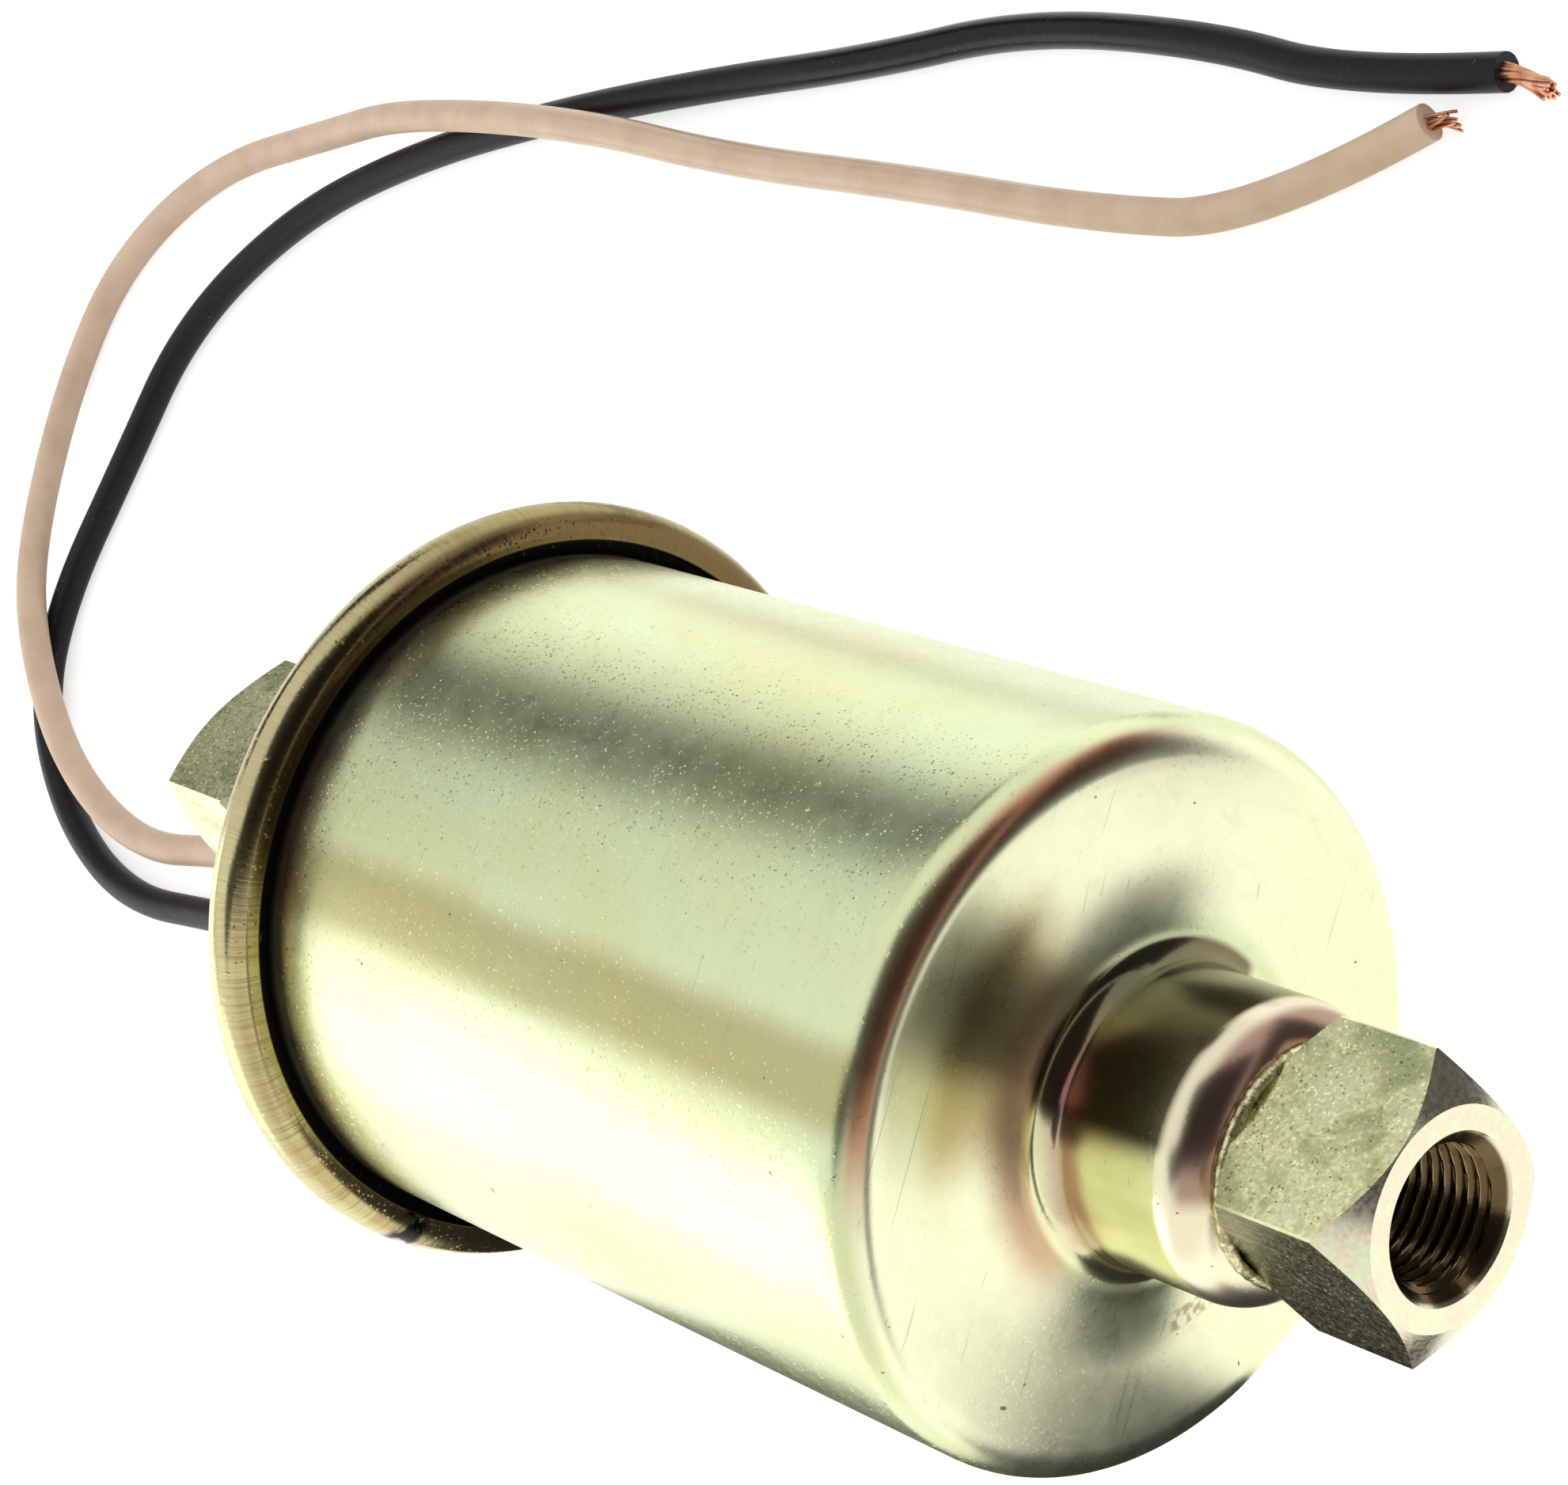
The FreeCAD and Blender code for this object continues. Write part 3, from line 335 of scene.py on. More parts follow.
def can_colour(look, wall, uneven):
    """Colour of the can: cloudy plate with a bronze tinge beside the seam, a painted reflection
    band, and painted shade and a pale painted reflection in places.
    """
    clouds = look.noise(55.0, 3.0, 0.55, warp=0.6)
    colour = look.mix(look.step(clouds, 0.35, 0.68), (0.71, 0.80, 0.49), (0.71, 0.75, 0.41))
    rosy = look.step(look.noise(95.0, 2.0, 0.5, warp=1.2), 0.56, 0.74)
    colour = look.tint(colour, rosy, 0.20, (0.76, 0.62, 0.46))
    # Front face painted pale as a painted reflection of the lit table, with painted brown shade
    # above the neck
    face = look.times(look.step(look.x, FRONT_FACE - 0.0010, FRONT_FACE - 0.0002),
                      look.step(look.radius, CREASE_RADIUS, CREASE_RADIUS + 0.0020))
    colour = look.tint(colour, face, 0.8, (0.95, 0.96, 0.66))
    # Painted brown shade on the face above the neck
    brown_tone_and_painted_shade = look.times(look.band(look.angle, 1.1, 1.75, 0.35),
                         look.band(look.radius, 0.0125, 0.0175, 0.0030))
    colour = look.tint(colour, look.times(brown_tone_and_painted_shade, face), 0.7, (0.60, 0.44, 0.20))
    # Painted reflection band in dark gold along the can near its top, and drawing marks round it
    wavy_angle = look.compute("ADD", look.angle, look.times(clouds, 0.04))
    painted_reflection_band = look.times(look.band(wavy_angle, 1.64, 1.74, 0.11), wall)
    colour = look.tint(colour, painted_reflection_band, 0.75, (0.42, 0.37, 0.15))
    brushed = look.noise(1.0, 3.0, 0.7, look.round_axis(900.0, 9.0))
    colour = look.tint(colour, look.step(brushed, 0.5, 0.75), 0.12, (0.46, 0.42, 0.20))
    # Bronze tinge beside the seam, and painted shade in dark bronze on the upper shoulder and on
    # the step
    seam_side = look.times(look.step(look.x, SEAM + 0.0060, SEAM + 0.0020), 0.7)
    # Painted shade along the upper side of the shoulder
    shoulder = look.times(look.step(look.x, FRONT_FACE - 0.0020, FRONT_FACE - 0.0008),
                          look.band(look.radius, 0.0238, 0.0243, 0.0007))
    shoulder = look.times(shoulder, look.band(look.angle, 0.5, 1.7, 0.4))
    painted_shade_above_step = look.times(look.step(look.x, FRONT_FACE + 0.0001, FRONT_FACE + 0.0008),
                            look.band(look.angle, 1.3, 2.5, 0.5))
    painted_shoulder_step_shade = look.compute("MAXIMUM", shoulder, look.times(painted_shade_above_step, 0.7))
    seam_tinge_and_painted_shade = look.compute("MAXIMUM", look.times(seam_side, uneven), painted_shoulder_step_shade)
    return look.mix(seam_tinge_and_painted_shade, colour, (0.56, 0.29, 0.16))


def neck_colour(look, neck_end, uneven):
    """Colour of the neck: painted shade on its upper side, a painted highlight at its end, painted
    brown shade where it turns in.
    """
    # Painted shade over the neck's upper side: a lit and a shaded tone of one plate
    painted_shade_upper_side = look.band(look.angle, -0.4, 1.62, 0.12)
    pale = look.mix(uneven, (0.84, 0.85, 0.52), (0.74, 0.72, 0.40))
    dark = look.mix(uneven, (0.07, 0.06, 0.035), (0.15, 0.11, 0.05))
    colour = look.tint(pale, painted_shade_upper_side, 0.9, dark)
    # Painted highlight round the neck's end
    colour = look.tint(colour, neck_end, 0.85, (0.92, 0.84, 0.60))
    # Painted brown shade where the neck turns in
    painted_shade_turn_in = look.times(look.step(look.x, FRONT_FACE + 0.0116, FRONT_FACE + 0.0125),
                           look.band(look.angle, -0.2, 1.9, 0.2))
    return look.tint(colour, painted_shade_turn_in, 0.85, (0.36, 0.20, 0.15))


def plated_steel():
    """Yellow zinc plate on drawn steel: pale green-gold, stained and bronze in places, with
    painted shade, painted highlights and painted reflections where the light falls.
    """
    look = Look("plated_steel_look")
    uneven = look.step(look.noise(120.0, 3.0, 0.6, warp=0.8), 0.30, 0.66)
    wall = look.step(look.radius, CAN_RADIUS - 0.0006, CAN_RADIUS - 0.0002)
    neck = look.step(look.radius, CREASE_RADIUS + 0.0001, CREASE_RADIUS - 0.0006)
    neck_end = look.step(look.x, FRONT_FACE + 0.0104, FRONT_FACE + 0.0112)
    colour = look.mix(neck, can_colour(look, wall, uneven), neck_colour(look, neck_end, uneven))
    # Violet heat tint at the neck's root
    violet = look.times(look.band(look.angle, 1.5, 2.6, 0.4),
                        look.band(look.x, FRONT_FACE + 0.0022, FRONT_FACE + 0.0036, 0.0012))
    colour = look.tint(colour, look.times(violet, neck), 0.45, (0.34, 0.08, 0.14))
    # Brown drip stain low on the front face
    drip = look.times(look.band(look.radius, 0.0150, 0.0162, 0.0003),
                      look.band(look.angle, -2.62, -2.40, 0.04))
    drip = look.times(drip, look.step(look.noise(900.0, 2.0), 0.42, 0.55))
    colour = look.tint(colour, drip, 0.7, (0.40, 0.24, 0.12))
    # Near-black colour in the groove between can and lip
    groove = look.times(look.step(look.x, SEAM + 0.0030, SEAM + 0.0014),
                        look.step(look.radius, LIP_RADIUS + 0.0003, LIP_RADIUS))
    colour = look.mix(groove, colour, GROOVE_BLACK)
    # Black specks and fine hairlines
    specks = look.step(look.noise(1300.0, 1.0, 0.4), 0.80, 0.83)
    colour = look.tint(colour, specks, 0.8, (0.10, 0.09, 0.06))
    hairlines = look.scratches(3200.0, 40.0, 0.5, 0.73)
    colour = look.tint(colour, hairlines, 0.35, (0.36, 0.34, 0.22))
    roughness = look.blend(look.noise(420.0, 4.0, 0.65), 0.22, 0.34)
    roughness = look.blend(neck, roughness, look.blend(neck_end, 0.17, 0.26))
    roughness = look.blend(groove, roughness, GROOVE_ROUGHNESS)
    normal = look.glitter(0.00013, look.blend(wall, 0.05, 0.26), 0.10)
    normal = look.bump(look.noise(60.0, 1.0), 0.00010, 0.12, normal)
    look.set(Base_Color=colour, Metallic=1.0, Roughness=roughness, Normal=normal)
    return look.material


def rolled_rim():
    """The cover's plate: as the can's, with brush streaks and tarnish across the rolled rim, and
    painted shade and a painted highlight on it.
    """
    look = Look("rolled_rim_look")
    clouds = look.noise(60.0, 3.0, 0.55, warp=0.6)
    colour = look.mix(look.step(clouds, 0.35, 0.68), (0.68, 0.72, 0.45), (0.64, 0.62, 0.32))
    rim = look.step(look.radius, LIP_RADIUS - 0.0010, LIP_RADIUS)
    across = look.noise(1.0, 4.0, 0.75, look.round_axis(60.0, 95.0))
    wide = look.noise(1.0, 2.0, 0.5, look.round_axis(40.0, 6.0))
    streaks = look.step(across, 0.42, 0.66)
    tarnish = look.step(wide, 0.36, 0.60)
    rim_colour = look.mix(streaks, (0.64, 0.57, 0.27), (0.40, 0.33, 0.14))
    rim_colour = look.tint(rim_colour, tarnish, 0.5, (0.46, 0.36, 0.15))
    # Painted shade over the top of the rim, and a brown band inside the outer edge: a light bronze
    # tarnish all round, deepened into painted shade at the top
    brown_tone_and_painted_shade = look.band(look.radius, LIP_RADIUS + 0.0003, RIM_RADIUS - 0.0008, 0.0005)
    # Painted shade on the upper side of the rim
    top = look.band(look.angle, -0.6, 1.4, 0.5)
    rim_colour = look.tint(rim_colour, top, 0.7, (0.25, 0.20, 0.08))
    tarnish_and_shade_share = look.blend(top, 0.15, 0.9)
    rim_colour = look.tint(rim_colour, brown_tone_and_painted_shade, tarnish_and_shade_share, (0.15, 0.095, 0.04))
    # Painted highlight: the outer edge painted paler on its upper side
    wear_and_painted_highlight = look.step(look.radius, RIM_RADIUS - 0.0009, RIM_RADIUS - 0.0002)
    wear_and_painted_highlight = look.times(wear_and_painted_highlight, look.step(look.angle, 0.4, 1.2))
    rim_colour = look.tint(rim_colour, wear_and_painted_highlight, 0.4, (0.80, 0.74, 0.44))
    colour = look.mix(rim, colour, rim_colour)
    # Near-black colour inside the lip, and one black smudge low on the rim
    inside = look.times(look.step(look.radius, LIP_RADIUS + 0.00018, LIP_RADIUS + 0.00002),
                        look.step(look.x, SEAM - 0.0019, SEAM - 0.0010))
    colour = look.mix(inside, colour, GROOVE_BLACK)
    smudge = look.times(look.band(look.angle, 2.93, 2.99, 0.03), rim)
    smudge = look.times(smudge, look.step(look.noise(700.0, 3.0, 0.6), 0.38, 0.52))
    colour = look.mix(smudge, colour, (0.03, 0.03, 0.028))
    roughness = look.blend(look.times(rim, streaks), 0.18, 0.26)
    roughness = look.blend(inside, roughness, GROOVE_ROUGHNESS)
    normal = look.glitter(0.00017, 0.25, 0.08)
    normal = look.bump(look.times(across, rim), 0.00003, 0.35, normal)
    look.set(Base_Color=colour, Metallic=1.0, Roughness=roughness, Normal=normal)
    return look.material


def plated_fitting():
    """Plated bar steel: mottled flats, and turned ends with fine rings."""
    look = Look("plated_fitting_look")
    fine = look.noise(2600.0, 3.0, 0.6)
    patches = look.noise(230.0, 3.0, 0.55, warp=0.4)
    colour = look.mix(look.step(fine, 0.30, 0.70), (0.95, 0.95, 0.56), (0.72, 0.74, 0.38))
    colour = look.tint(colour, look.step(patches, 0.50, 0.68), 0.5, (0.97, 0.96, 0.66))
    colour = look.tint(colour, look.step(patches, 0.52, 0.36), 0.8, (0.44, 0.49, 0.24))
    # Painted shade on the flat that faces -Y, brushed along the axis
    stretched = look.vector(look.times(look.x, 90.0), look.times(look.y, 2400.0),
                            look.times(look.z, 2400.0))
    brushed = look.noise(1.0, 3.0, 0.7, stretched)
    painted_shade_tone = look.mix(look.step(brushed, 0.35, 0.7), (0.10, 0.095, 0.045), (0.26, 0.25, 0.13))
    true_normal = look.node("ShaderNodeNewGeometry", {}).outputs["True Normal"]
    facing = look.node("ShaderNodeSeparateXYZ", {0: true_normal}).outputs
    painted_shade_flat = look.times(look.step(facing[1], -0.6, -0.8), look.step(look.x, 0.0, 0.01))
    colour = look.tint(colour, painted_shade_flat, 0.9, painted_shade_tone)
    turned = look.step(look.compute("ABSOLUTE", facing[0]), 0.2, 0.4)
    rings = look.noise(1.0, 2.0, 0.6, look.round_axis(5200.0, 1.5))
    turned_colour = look.mix(rings, (0.88, 0.78, 0.60), (0.82, 0.74, 0.52))
    tints = look.step(look.noise(500.0, 2.0, 0.5, warp=1.0), 0.45, 0.62)
    turned_colour = look.tint(turned_colour, tints, 0.6, (0.76, 0.88, 0.56))
    colour = look.mix(turned, colour, turned_colour)
    roughness = look.blend(look.step(fine, 0.3, 0.7), 0.22, 0.36)
    mottled = look.bump(patches, 0.00006, 0.3, look.glitter(0.00016, 0.25, 0.2))
    mottled = look.bump(fine, 0.000012, 0.5, mottled)
    grooved = look.bump(rings, 0.00002, 0.5)
    normal = look.node("ShaderNodeMix", {0: turned, 4: mottled, 5: grooved}, data_type="VECTOR")
    look.set(Base_Color=colour, Metallic=1.0, Roughness=roughness, Normal=normal.outputs[1])
    return look.material


def threaded_port():
    """Threads: painted highlights on thin crests over dark bronze darkened as painted shade inside
    the bore, and a bright mouth.
    """
    look = Look("threaded_port_look")
    painted_highlight_crest = look.step(look.radius, PORT_RADIUS + 0.00008, PORT_RADIUS + 0.00001)
    mouth = look.step(look.radius, MOUTH_RADIUS - 0.00030, MOUTH_RADIUS - 0.00008)
    uneven = look.noise(700.0, 3.0, 0.6)
    # Dark bronze, darkened as painted shade inside the bore
    colour = look.mix(uneven, (0.10, 0.070, 0.032), (0.17, 0.115, 0.05))
    # Painted highlight along the crests
    colour = look.tint(colour, painted_highlight_crest, 0.6, (0.50, 0.40, 0.20))
    colour = look.mix(mouth, colour, (0.78, 0.70, 0.48))
    normal = look.bump(look.noise(2500.0, 2.0), 0.00002, 0.6)
    look.set(Base_Color=colour, Metallic=1.0, Roughness=0.20, Normal=normal)
    return look.material


def braze_metal():
    """Rough braze, bright with dark grains."""
    look = Look("braze_look")
    grain = look.noise(1500.0, 4.0, 0.7)
    colour = look.mix(look.step(grain, 0.4, 0.62), (0.86, 0.82, 0.52), (0.36, 0.32, 0.15))
    look.set(Base_Color=colour, Metallic=1.0, Roughness=look.blend(grain, 0.15, 0.45),
             Normal=look.bump(grain, 0.00012, 0.9))
    return look.material


def insulation(name, colour, darker, roughness, shine, rubbed_span):
    """Lead insulation: extruded plastic, with one stretch that is rubbed shiny."""
    look = Look(name)
    mottle = look.noise(260.0, 3.0, 0.55)
    shade = look.tint(colour, look.step(mottle, 0.35, 0.75), 0.7, darker)
    dust = look.step(look.noise(1900.0, 2.0, 0.5), 0.70, 0.78)
    shade = look.tint(shade, dust, 0.12, (0.55, 0.50, 0.46))
    wear_and_painted_highlight = look.band(look.x, *rubbed_span, 0.012)
    finish = look.blend(look.times(wear_and_painted_highlight, 0.9), roughness, 0.22)
    normal = look.bump(look.noise(520.0, 3.0, 0.6), 0.00012, 0.35)
    look.set(Base_Color=shade, Roughness=finish, Normal=normal, Specular_IOR_Level=shine)
    return look.material


def simple_metal(name, colour, darker, roughness, grain):
    """Plain metal of a hidden part, with turned or drawn marks."""
    look = Look(name)
    marks = look.noise(1.0, 3.0, 0.6, look.round_axis(grain, 6.0))
    shade = look.mix(look.step(marks, 0.35, 0.7), colour, darker)
    finish = look.blend(marks, roughness, roughness + 0.15)
    normal = look.bump(marks, 0.00002, 0.5)
    look.set(Base_Color=shade, Metallic=1.0, Roughness=finish, Normal=normal)
    return look.material


def simple_plastic(name, colour, darker, roughness):
    """Plain moulded or rubber part, with a fine grain."""
    look = Look(name)
    grain = look.noise(900.0, 4.0, 0.6)
    shade = look.mix(look.step(grain, 0.35, 0.7), colour, darker)
    finish = look.blend(grain, roughness, roughness + 0.12)
    look.set(Base_Color=shade, Roughness=finish, Normal=look.bump(grain, 0.00004, 0.4))
    return look.material


def make_camera():
    """Camera of the photograph."""
    data = bpy.data.cameras.new("photo_camera")
    data.sensor_width = SENSOR_WIDTH
    data.lens = FOCAL_PIXELS * SENSOR_WIDTH / IMAGE_WIDTH
    data.shift_x = (IMAGE_WIDTH / 2 - PRINCIPAL_X) / IMAGE_WIDTH
    data.shift_y = (PRINCIPAL_Y - IMAGE_HEIGHT / 2) / IMAGE_WIDTH
    data.clip_start = 0.01
    data.clip_end = 10.0
    camera = add_object("photo_camera", data)
    back = CAMERA_RIGHT.cross(CAMERA_UP).normalized()
    right = CAMERA_UP.cross(back).normalized()
    turn = Matrix((right, back.cross(right), back)).transposed()
    camera.matrix_world = Matrix.Translation(CAMERA_PLACE) @ turn.to_4x4()
    bpy.context.scene.camera = camera


def make_lead(name, node, route, material):
    """A lead as one smooth spline along its route."""
    data = bpy.data.curves.new(name, "CURVE")
    data.dimensions = "3D"
    data.bevel_depth = LEAD_DIAMETER / 2
    data.bevel_resolution = 6
    data.resolution_u = 14
    data.use_fill_caps = True
    spline = data.splines.new("NURBS")
    spline.points.add(len(route) - 1)
    for point, place in zip(spline.points, route):
        point.co = (*place, 1.0)
    spline.order_u = 3
    spline.use_endpoint_u = True
    data.materials.append(material)
    lead = add_object(name, data)
    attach(lead, "root")
    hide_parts(node)
    return lead


def make_strands(name, node, route, count, radius, bend, spread, seed, material):
    """Bared copper strands, twisted, bent over by (along, across) and uneven at the end."""
    chance = random.Random(seed)
    end = Vector(route[-1])
    forward = (end - Vector(route[-2])).normalized()
    side = forward.cross(Vector((0, 0, 1))).normalized()
    up = side.cross(forward)
    along, across = bend
    data = bpy.data.curves.new(name, "CURVE")
    data.dimensions = "3D"
    data.bevel_depth = radius
    data.bevel_resolution = 2
    data.use_fill_caps = True
    steps = 12
    bundle_radius = LEAD_DIAMETER * 0.27
    waist = 0.25
    twist = 1.5
    hidden_start = 0.0004
    curl = 1.3
    for index in range(count):
        ring = math.sqrt((index + 0.5) / count)
        turn = index * GOLDEN_ANGLE
        reach = along * chance.uniform(0.80, 1.0)
        lean = chance.uniform(0.2, 1.0) * spread
        spline = data.splines.new("POLY")
        spline.points.add(steps - 1)
        for step, point in enumerate(spline.points):
            share = step / (steps - 1)
            angle = turn + twist * share
            out = bundle_radius * ring * (1 - waist * math.sin(math.pi * share))
            out += lean * share * share * ring
            place = end + forward * (reach * share - hidden_start * (1 - share))
            place += side * (across * share ** curl + out * math.cos(angle))
            place += up * (out * math.sin(angle))
            place.z = max(place.z, FLOOR + radius)
            point.co = (*place, 1.0)
    data.materials.append(material)
    strands = add_object(name, data)
    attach(strands, "root")
    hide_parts(node)
    return strands


def make_fitting(name, node, face, inward, material):
    """The port fitting's outside, taken from the CAD without its bore."""
    mesh = frame["nodes"][node].data.copy()
    mesh.name = name
    shape = bmesh.new()
    shape.from_mesh(mesh)
    bore_end = face + inward * PORT_DEPTH
    lost = []
    for side in shape.faces:
        places = [corner.co for corner in side.verts]
        inside = all(math.hypot(place.y, place.z) < MOUTH_RADIUS + TOLERANCE for place in places)
        before_end = all((place.x - bore_end) * inward < TOLERANCE for place in places)
        if inside and before_end:
            lost.append(side)
    bmesh.ops.delete(shape, geom=lost, context="FACES")
    shape.to_mesh(mesh)
    shape.free()
    mesh.materials.clear()
    mesh.materials.append(material)
    fitting = add_object(name, mesh)
    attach(fitting, "root")
    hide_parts(node)


def make_thread(name, face, inward, material):
    """The threaded bore: the larger of the countersink and the thread at every place."""
    around = 96
    along = 176
    # A zigzag made steeper and cut off, so that crests and roots are flat
    flank = 1.25
    flat = 0.125
    fade_length = 2 * THREAD_PITCH
    vertices = []
    for row in range(along + 1):
        depth = PORT_DEPTH * row / along
        for column in range(around):
            turn = column / around
            phase = (depth / THREAD_PITCH - turn) % 1.0
            tooth = min(max(flank * (1 - abs(2 * phase - 1)) - flat, 0.0), 1.0)
            fade = min(1.0, (PORT_DEPTH - depth) / fade_length)
            radius = PORT_RADIUS + (THREAD_ROOT - PORT_RADIUS) * tooth * fade
            radius = max(radius, MOUTH_RADIUS - depth)
            angle = 2 * math.pi * turn
            vertices.append((face + inward * depth, radius * math.cos(angle),
                             radius * math.sin(angle)))
    faces = ring_faces(along + 1, around, closed=False)
    if inward > 0:
        faces = [face[::-1] for face in faces]
    thread = mesh_piece(name, vertices, faces)
    thread.data.materials.append(material)
    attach(thread, "root")


def arc(centre, radius, start, end, count):
    """Profile points on an arc, with angles in degrees from +X towards the outside."""
    points = []
    for index in range(count + 1):
        angle = math.radians(start + (end - start) * index / count)
        points.append((centre[0] + radius * math.cos(angle), centre[1] + radius * math.sin(angle)))
    return points


def make_shell(material):
    """The drawn can turned from its profile, with the step round the neck as one soft curve."""
    wall = SHEET
    flange = SEAM + BEAD_RADIUS - wall
    flare_round = 0.001
    flare = (flange + flare_round, CAN_RADIUS + flare_round)
    wall_rows = 24
    face_rows = 6
    step_rows = 12
    shoulder = (FRONT_FACE - SHOULDER_ROUND, CAN_RADIUS - SHOULDER_ROUND)
    root_round = CREASE_RADIUS - NECK_RADIUS
    root = (FRONT_FACE + STEP_RISE + root_round, CREASE_RADIUS)
    neck_end = (FRONT_FACE + NECK_LENGTH - NECK_ROUND, NECK_RADIUS - NECK_ROUND)
    profile = [(flange - wall, FLANGE_RADIUS), (flange, FLANGE_RADIUS)]
    profile += arc(flare, flare_round, 180, 270, 5)
    for index in range(1, wall_rows):
        share = index / wall_rows
        profile.append((flare[0] + (shoulder[0] - flange - flare_round) * share, CAN_RADIUS))
    profile += arc(shoulder, SHOULDER_ROUND, 90, 0, 14)
    for index in range(1, face_rows):
        radius = shoulder[1] + (CURVE_RADIUS - shoulder[1]) * index / face_rows
        profile.append((FRONT_FACE, radius))
    for index in range(step_rows + 1):
        share = index / step_rows
        radius = CURVE_RADIUS + (CREASE_RADIUS - CURVE_RADIUS) * share
        profile.append((FRONT_FACE + STEP_RISE * share * share, radius))
    profile += arc(root, root_round, 180, 270, 10)[1:]
    profile += arc(neck_end, NECK_ROUND, 90, 0, 14)
    profile.append((neck_end[0] + NECK_ROUND, SPIGOT_RADIUS))
    profile.append((neck_end[0] + NECK_ROUND - wall, SPIGOT_RADIUS))
    profile += arc(neck_end, NECK_ROUND - wall, 0, 90, 8)
    profile += arc(root, root_round + wall, 270, 180, 8)
    profile += arc(shoulder, SHOULDER_ROUND - wall, 0, 90, 6)
    profile += arc(flare, flare_round + wall, 270, 180, 5)
    around = 256
    vertices = []
    for column in range(around):
        angle = 2 * math.pi * column / around
        for x, radius in profile:
            vertices.append((x, radius * math.cos(angle), radius * math.sin(angle)))
    faces = ring_faces(around, len(profile))
    shell = mesh_piece("can_drawn_shell", vertices, faces, math.radians(30))
    shell.data.materials.append(material)
    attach(shell, "root")
    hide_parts("can_housing")


def make_spring(name, node, body):
    """A spring in the shape of the CAD's own, on its body."""
    solid = frame["nodes"][node]
    spring = add_object(name, solid.data.copy())
    spring.matrix_world = solid.matrix_world.copy()
    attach(spring, body)
    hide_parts(node)
    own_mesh(spring)


def make_braze(name, node, material):
    """Braze ring, lumpy as it froze."""
    low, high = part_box(node)
    neck_end = low.x if low.x > 0 else high.x
    width = high.x - low.x
    middle = (low.x + high.x) / 2
    top = high.z
    # The section's depth and half sizes as shares of the ring's width, and how lumpy it is
    depth = 0.42
    half_width = 0.45
    half_height = 0.40
    lump_height = 0.30
    fine_height = 0.22
    around = 220
    section = 10
    vertices = []
    for column in range(around):
        angle = 2 * math.pi * column / around
        direction = Vector((0, math.cos(angle), math.sin(angle)))
        for row in range(section):
            turn = 2 * math.pi * row / section
            place = Vector((middle + math.cos(turn) * width * half_width, 0, 0))
            lump = noise.noise(direction * 9 + Vector((place.x * 900, 0, neck_end * 50)))
            fine = noise.noise(direction * 34 + Vector((place.x * 2600, 0, 7)))
            reach = width * half_height * (1 + lump_height * lump + fine_height * fine)
            radius = min(top - width * depth + math.sin(turn) * reach, top)
            vertices.append(tuple(place + direction * radius))
    faces = ring_faces(around, section)
    ring = mesh_piece(name, vertices, faces, math.radians(80))
    ring.data.materials.append(material)
    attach(ring, "root")
    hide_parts(node)


def dress_cad(looks):
    """Give every CAD node the material of its slot in the record."""
    for entry in frame["record"]["subparts"]:
        material = looks.get(entry["node"]) or looks[entry["material_slot"]]
        for slot in frame["nodes"][entry["node"]].material_slots:
            slot.material = material


def make_floor():
    """White table that fades into the white background and keeps the pump's shadow."""
    reach = 3.0
    corners = [(-reach, -reach, FLOOR), (reach, -reach, FLOOR),
               (reach, reach, FLOOR), (-reach, reach, FLOOR)]
    floor = mesh_piece("table", corners, [(0, 1, 2, 3)])
    look = Look("table_look")
    # With the lamp's light on it the table comes out white
    glow = look.times(seen_rays(look.tree), 0.62)
    look.set(Base_Color=(0.88, 0.88, 0.88), Roughness=0.9, Specular_IOR_Level=0.0,
             Emission_Color=(1.0, 1.0, 1.0), Emission_Strength=glow)
    floor.data.materials.append(look.material)


def make_world():
    """White surroundings for the camera and in the metal, plain light elsewhere."""
    world = bpy.data.worlds.new("studio")
    bpy.context.scene.world = world
    world.use_nodes = True
    tree = world.node_tree
    level = add_node(tree, "ShaderNodeMapRange",
                     {"Value": seen_rays(tree), "To Min": 0.70, "To Max": 1.0})
    back = tree.nodes["Background"]
    put(tree, back.inputs["Strength"], level.outputs[0])
    put(tree, back.inputs["Color"], (1.0, 1.0, 1.0))


def hang(thing, direction, distance):
    """Put a lamp or card in a direction from the pump's middle, facing it."""
    place = Vector(direction).normalized() * distance
    thing.location = place
    thing.rotation_euler = (-place).to_track_quat("-Z", "Y").to_euler()


def make_lamp(name, direction, distance, size, strength):
    """A softbox in a direction from the pump."""
    data = bpy.data.lights.new(name, "AREA")
    data.shape = "RECTANGLE"
    data.size, data.size_y = size
    data.energy = strength
    lamp = add_object(name, data)
    hang(lamp, direction, distance)


def add_card(name, corners, level):
    """A flat card of one grey that only the metal's reflections see, as studios use; laid on the
    table it is a painted shadow.
    """
    card = mesh_piece(name, corners, [(0, 1, 2, 3)])
    look = Look(f"{name}_look")
    look.set(Base_Color=(0.0, 0.0, 0.0), Specular_IOR_Level=0.0,
             Emission_Color=(level, level, level), Emission_Strength=1.0)
    card.data.materials.append(look.material)
    card.visible_camera = False
    card.visible_diffuse = False
    card.visible_shadow = False
    card.visible_transmission = False
    return card


def make_card(name, direction, distance, size, level):
    """A card that hangs in a direction from the pump."""
    wide, high = size[0] / 2, size[1] / 2
    corners = [(-wide, -high, 0), (wide, -high, 0), (wide, high, 0), (-wide, high, 0)]
    card = add_card(name, corners, level)
    hang(card, direction, distance)


def make_painted_shadow_card(name, low, high, level):
    """A dark card that lies just above the table, between two of its corners: a painted shadow of
    the pump on the table, seen only in the metal.
    """
    height = FLOOR + CARD_LIFT
    corners = [(low[0], low[1], height), (high[0], low[1], height),
               (high[0], high[1], height), (low[0], high[1], height)]
    add_card(name, corners, level)


make_camera()

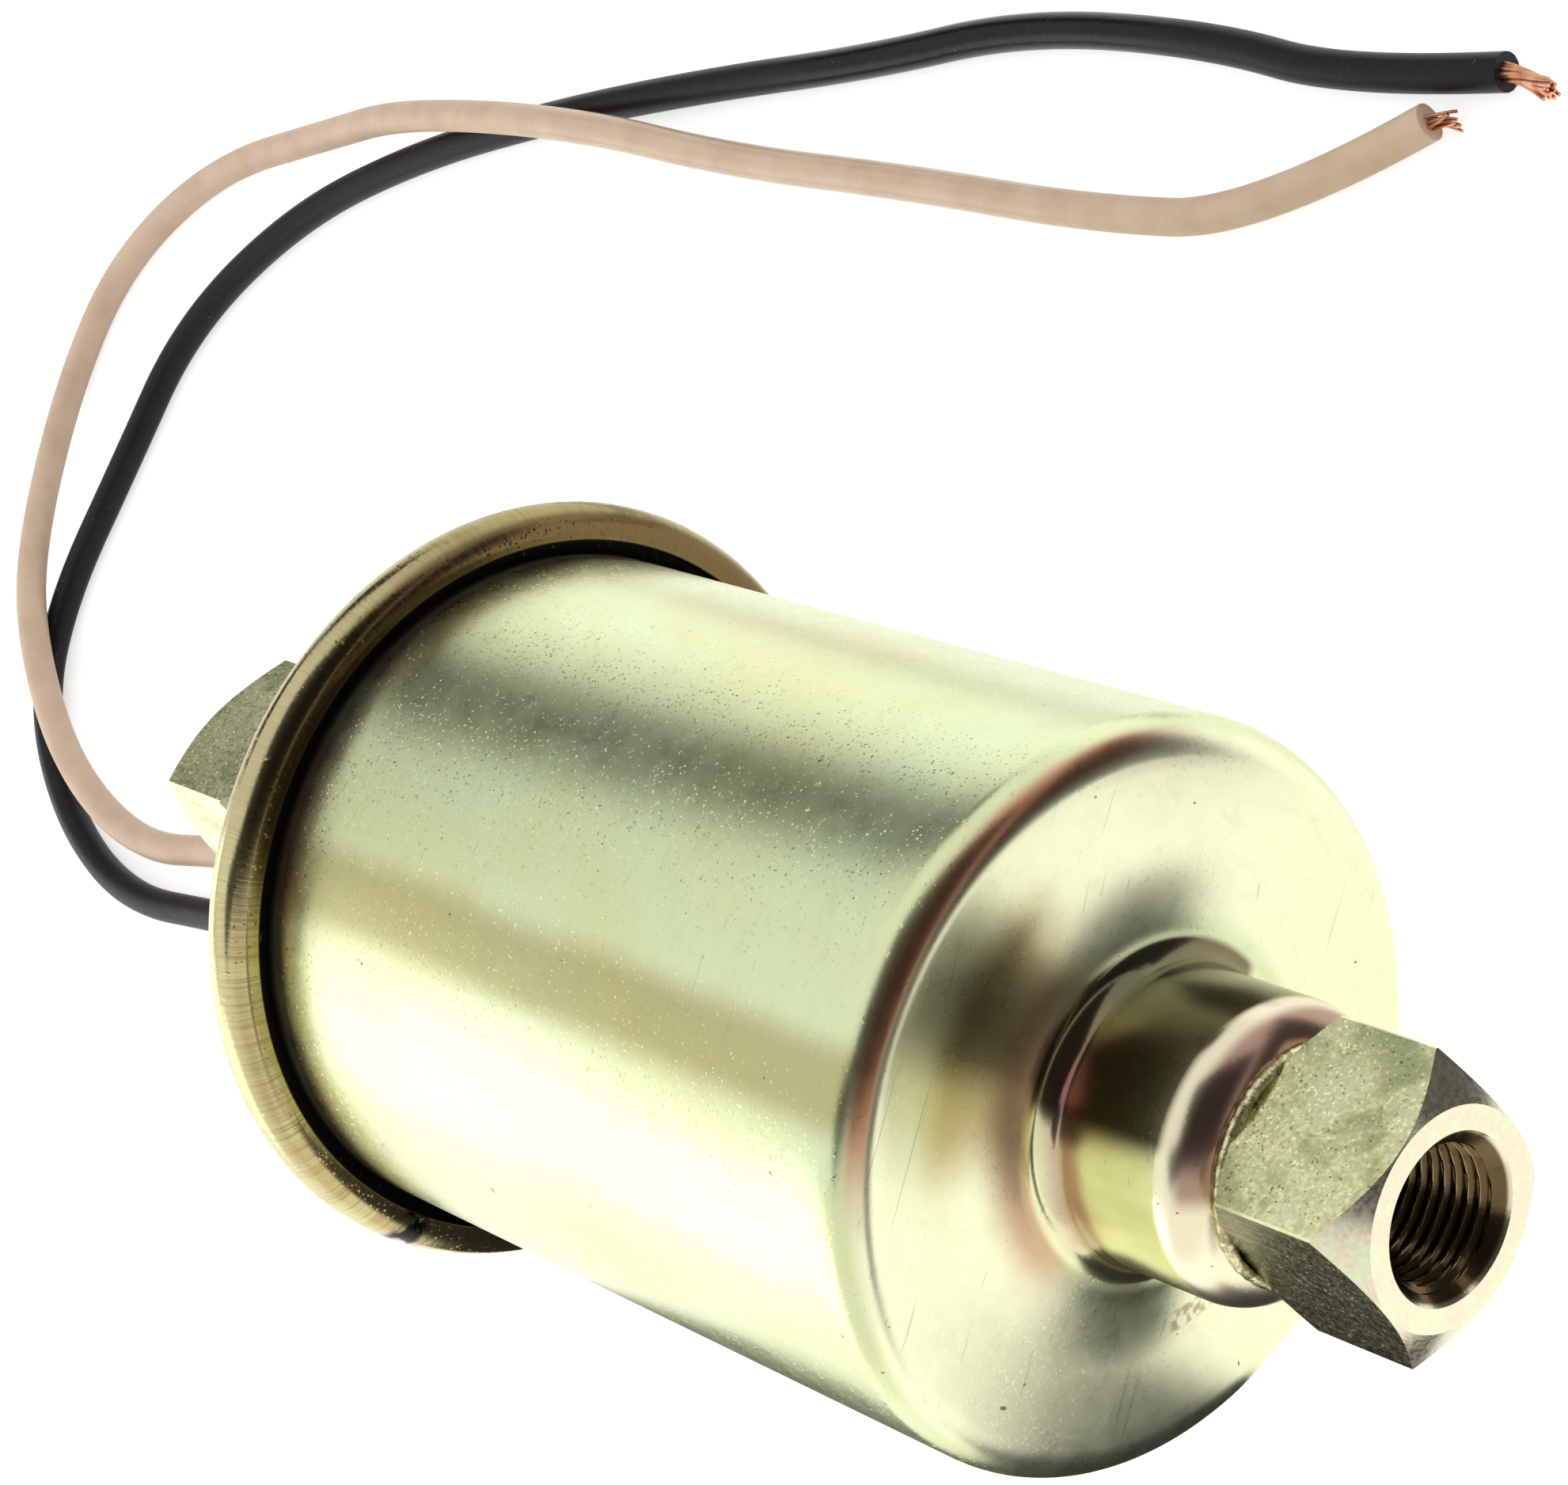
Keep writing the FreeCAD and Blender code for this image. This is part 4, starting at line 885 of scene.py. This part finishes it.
tan = insulation("tan_insulation_look", (0.86, 0.64, 0.46), (0.73, 0.51, 0.35),
                 0.5, 0.4, (-0.085, -0.030))
black = insulation("black_insulation_look", (0.010, 0.010, 0.012), (0.006, 0.006, 0.007),
                   0.42, 0.22, (-0.055, -0.025))
copper = simple_metal("copper_look", (0.80, 0.42, 0.27), (0.52, 0.22, 0.12), 0.25, 900.0)
tan_lead = make_lead("tan_lead_cord", "tan_lead", TAN_ROUTE, tan)
black_lead = make_lead("black_lead_cord", "black_lead", BLACK_ROUTE, black)
tan_strands = make_strands("tan_lead_bare_end", "tan_lead_strands", TAN_ROUTE,
                           count=9, radius=0.00013, bend=(0.0025, 0.0011), spread=0.0003,
                           seed=3, material=copper)
black_strands = make_strands("black_lead_bare_end", "black_lead_strands", BLACK_ROUTE,
                             count=26, radius=0.00016, bend=(0.0047, 0.0014), spread=0.0,
                             seed=8, material=copper)

steel_look = plated_steel()
fitting_look = plated_fitting()
thread_look = threaded_port()
braze_look = braze_metal()
dress_cad({
    "plated_steel": steel_look,
    "rear_cover": rolled_rim(),
    "plated_fitting": fitting_look,
    "braze": braze_look,
    "tan_insulation": tan,
    "black_insulation": black,
    "copper": copper,
    "black_rubber": simple_plastic("black_rubber_look", (0.030, 0.030, 0.030),
                                   (0.018, 0.018, 0.018), 0.55),
    "valve_rubber": simple_plastic("valve_rubber_look", (0.12, 0.07, 0.05),
                                   (0.08, 0.05, 0.04), 0.5),
    "nylon": simple_plastic("nylon_look", (0.80, 0.78, 0.70), (0.70, 0.67, 0.58), 0.4),
    "board": simple_plastic("board_look", (0.06, 0.28, 0.10), (0.04, 0.20, 0.08), 0.35),
    "component_black": simple_plastic("component_look", (0.04, 0.04, 0.04),
                                      (0.025, 0.025, 0.025), 0.45),
    "resistor_body": simple_plastic("resistor_look", (0.70, 0.60, 0.42), (0.60, 0.50, 0.34), 0.4),
    "brass": simple_metal("brass_look", (0.78, 0.60, 0.28), (0.62, 0.45, 0.20), 0.22, 3000.0),
    "steel_mesh": simple_metal("screen_look", (0.62, 0.62, 0.62), (0.42, 0.42, 0.42), 0.3, 2000.0),
    "spring_steel": simple_metal("spring_look", (0.60, 0.60, 0.62), (0.42, 0.42, 0.44),
                                 0.25, 2000.0),
    "plunger_steel": simple_metal("plunger_look", (0.56, 0.57, 0.60), (0.44, 0.45, 0.47),
                                  0.2, 4000.0),
    "frame_steel": simple_metal("frame_look", (0.36, 0.36, 0.37), (0.24, 0.24, 0.25), 0.4, 800.0),
    "enamelled_copper": simple_metal("enamel_look", (0.62, 0.25, 0.12), (0.42, 0.15, 0.07),
                                     0.3, 3500.0),
})
make_shell(steel_look)
for end in ("outlet", "inlet"):
    low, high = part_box(f"{end}_fitting")
    face, inward = (high.x, -1) if end == "outlet" else (low.x, 1)
    make_fitting(f"{end}_fitting_outside", f"{end}_fitting", face, inward, fitting_look)
    make_thread(f"{end}_port_thread", face, inward, thread_look)
    make_braze(f"{end}_braze_fillet", f"{end}_braze_ring", braze_look)

make_spring("return_spring_coils", "return_spring", "root")
make_spring("inlet_valve_spring_coils", "inlet_valve_spring", "root")
make_spring("plunger_valve_spring_coils", "plunger_valve_spring", "plunger")

make_floor()
make_world()
make_lamp("key_softbox", (-0.72, -0.62, 0.32), 0.9, (1.1, 0.55), 2.0)
make_card("far_side_card", (-0.77, 0.53, 0.35), 0.8, (0.9, 0.26), 0.02)
make_card("gap_card", (-0.77, -0.23, 0.59), 0.8, (0.9, 0.11), 0.60)
make_card("camera_card", (0.72, 0.24, 0.65), 0.6, (0.78, 0.92), 0.055)
make_card("left_top_card", (0.20, -0.37, 0.90), 0.6, (0.26, 0.26), 0.05)
# Painted shadows: dark cards on the table where the pump's shadow falls, seen only in the metal
make_painted_shadow_card("painted_shadow_card_near", (0.060, 0.022), (0.240, 0.200), 0.09)
make_painted_shadow_card("painted_shadow_card_front", (0.150, -0.160), (0.900, 0.600), 0.03)
make_painted_shadow_card("painted_shadow_card_side", (-0.050, -0.075), (0.064, -0.0206), 0.03)

bpy.context.scene.view_settings.view_transform = "Standard"
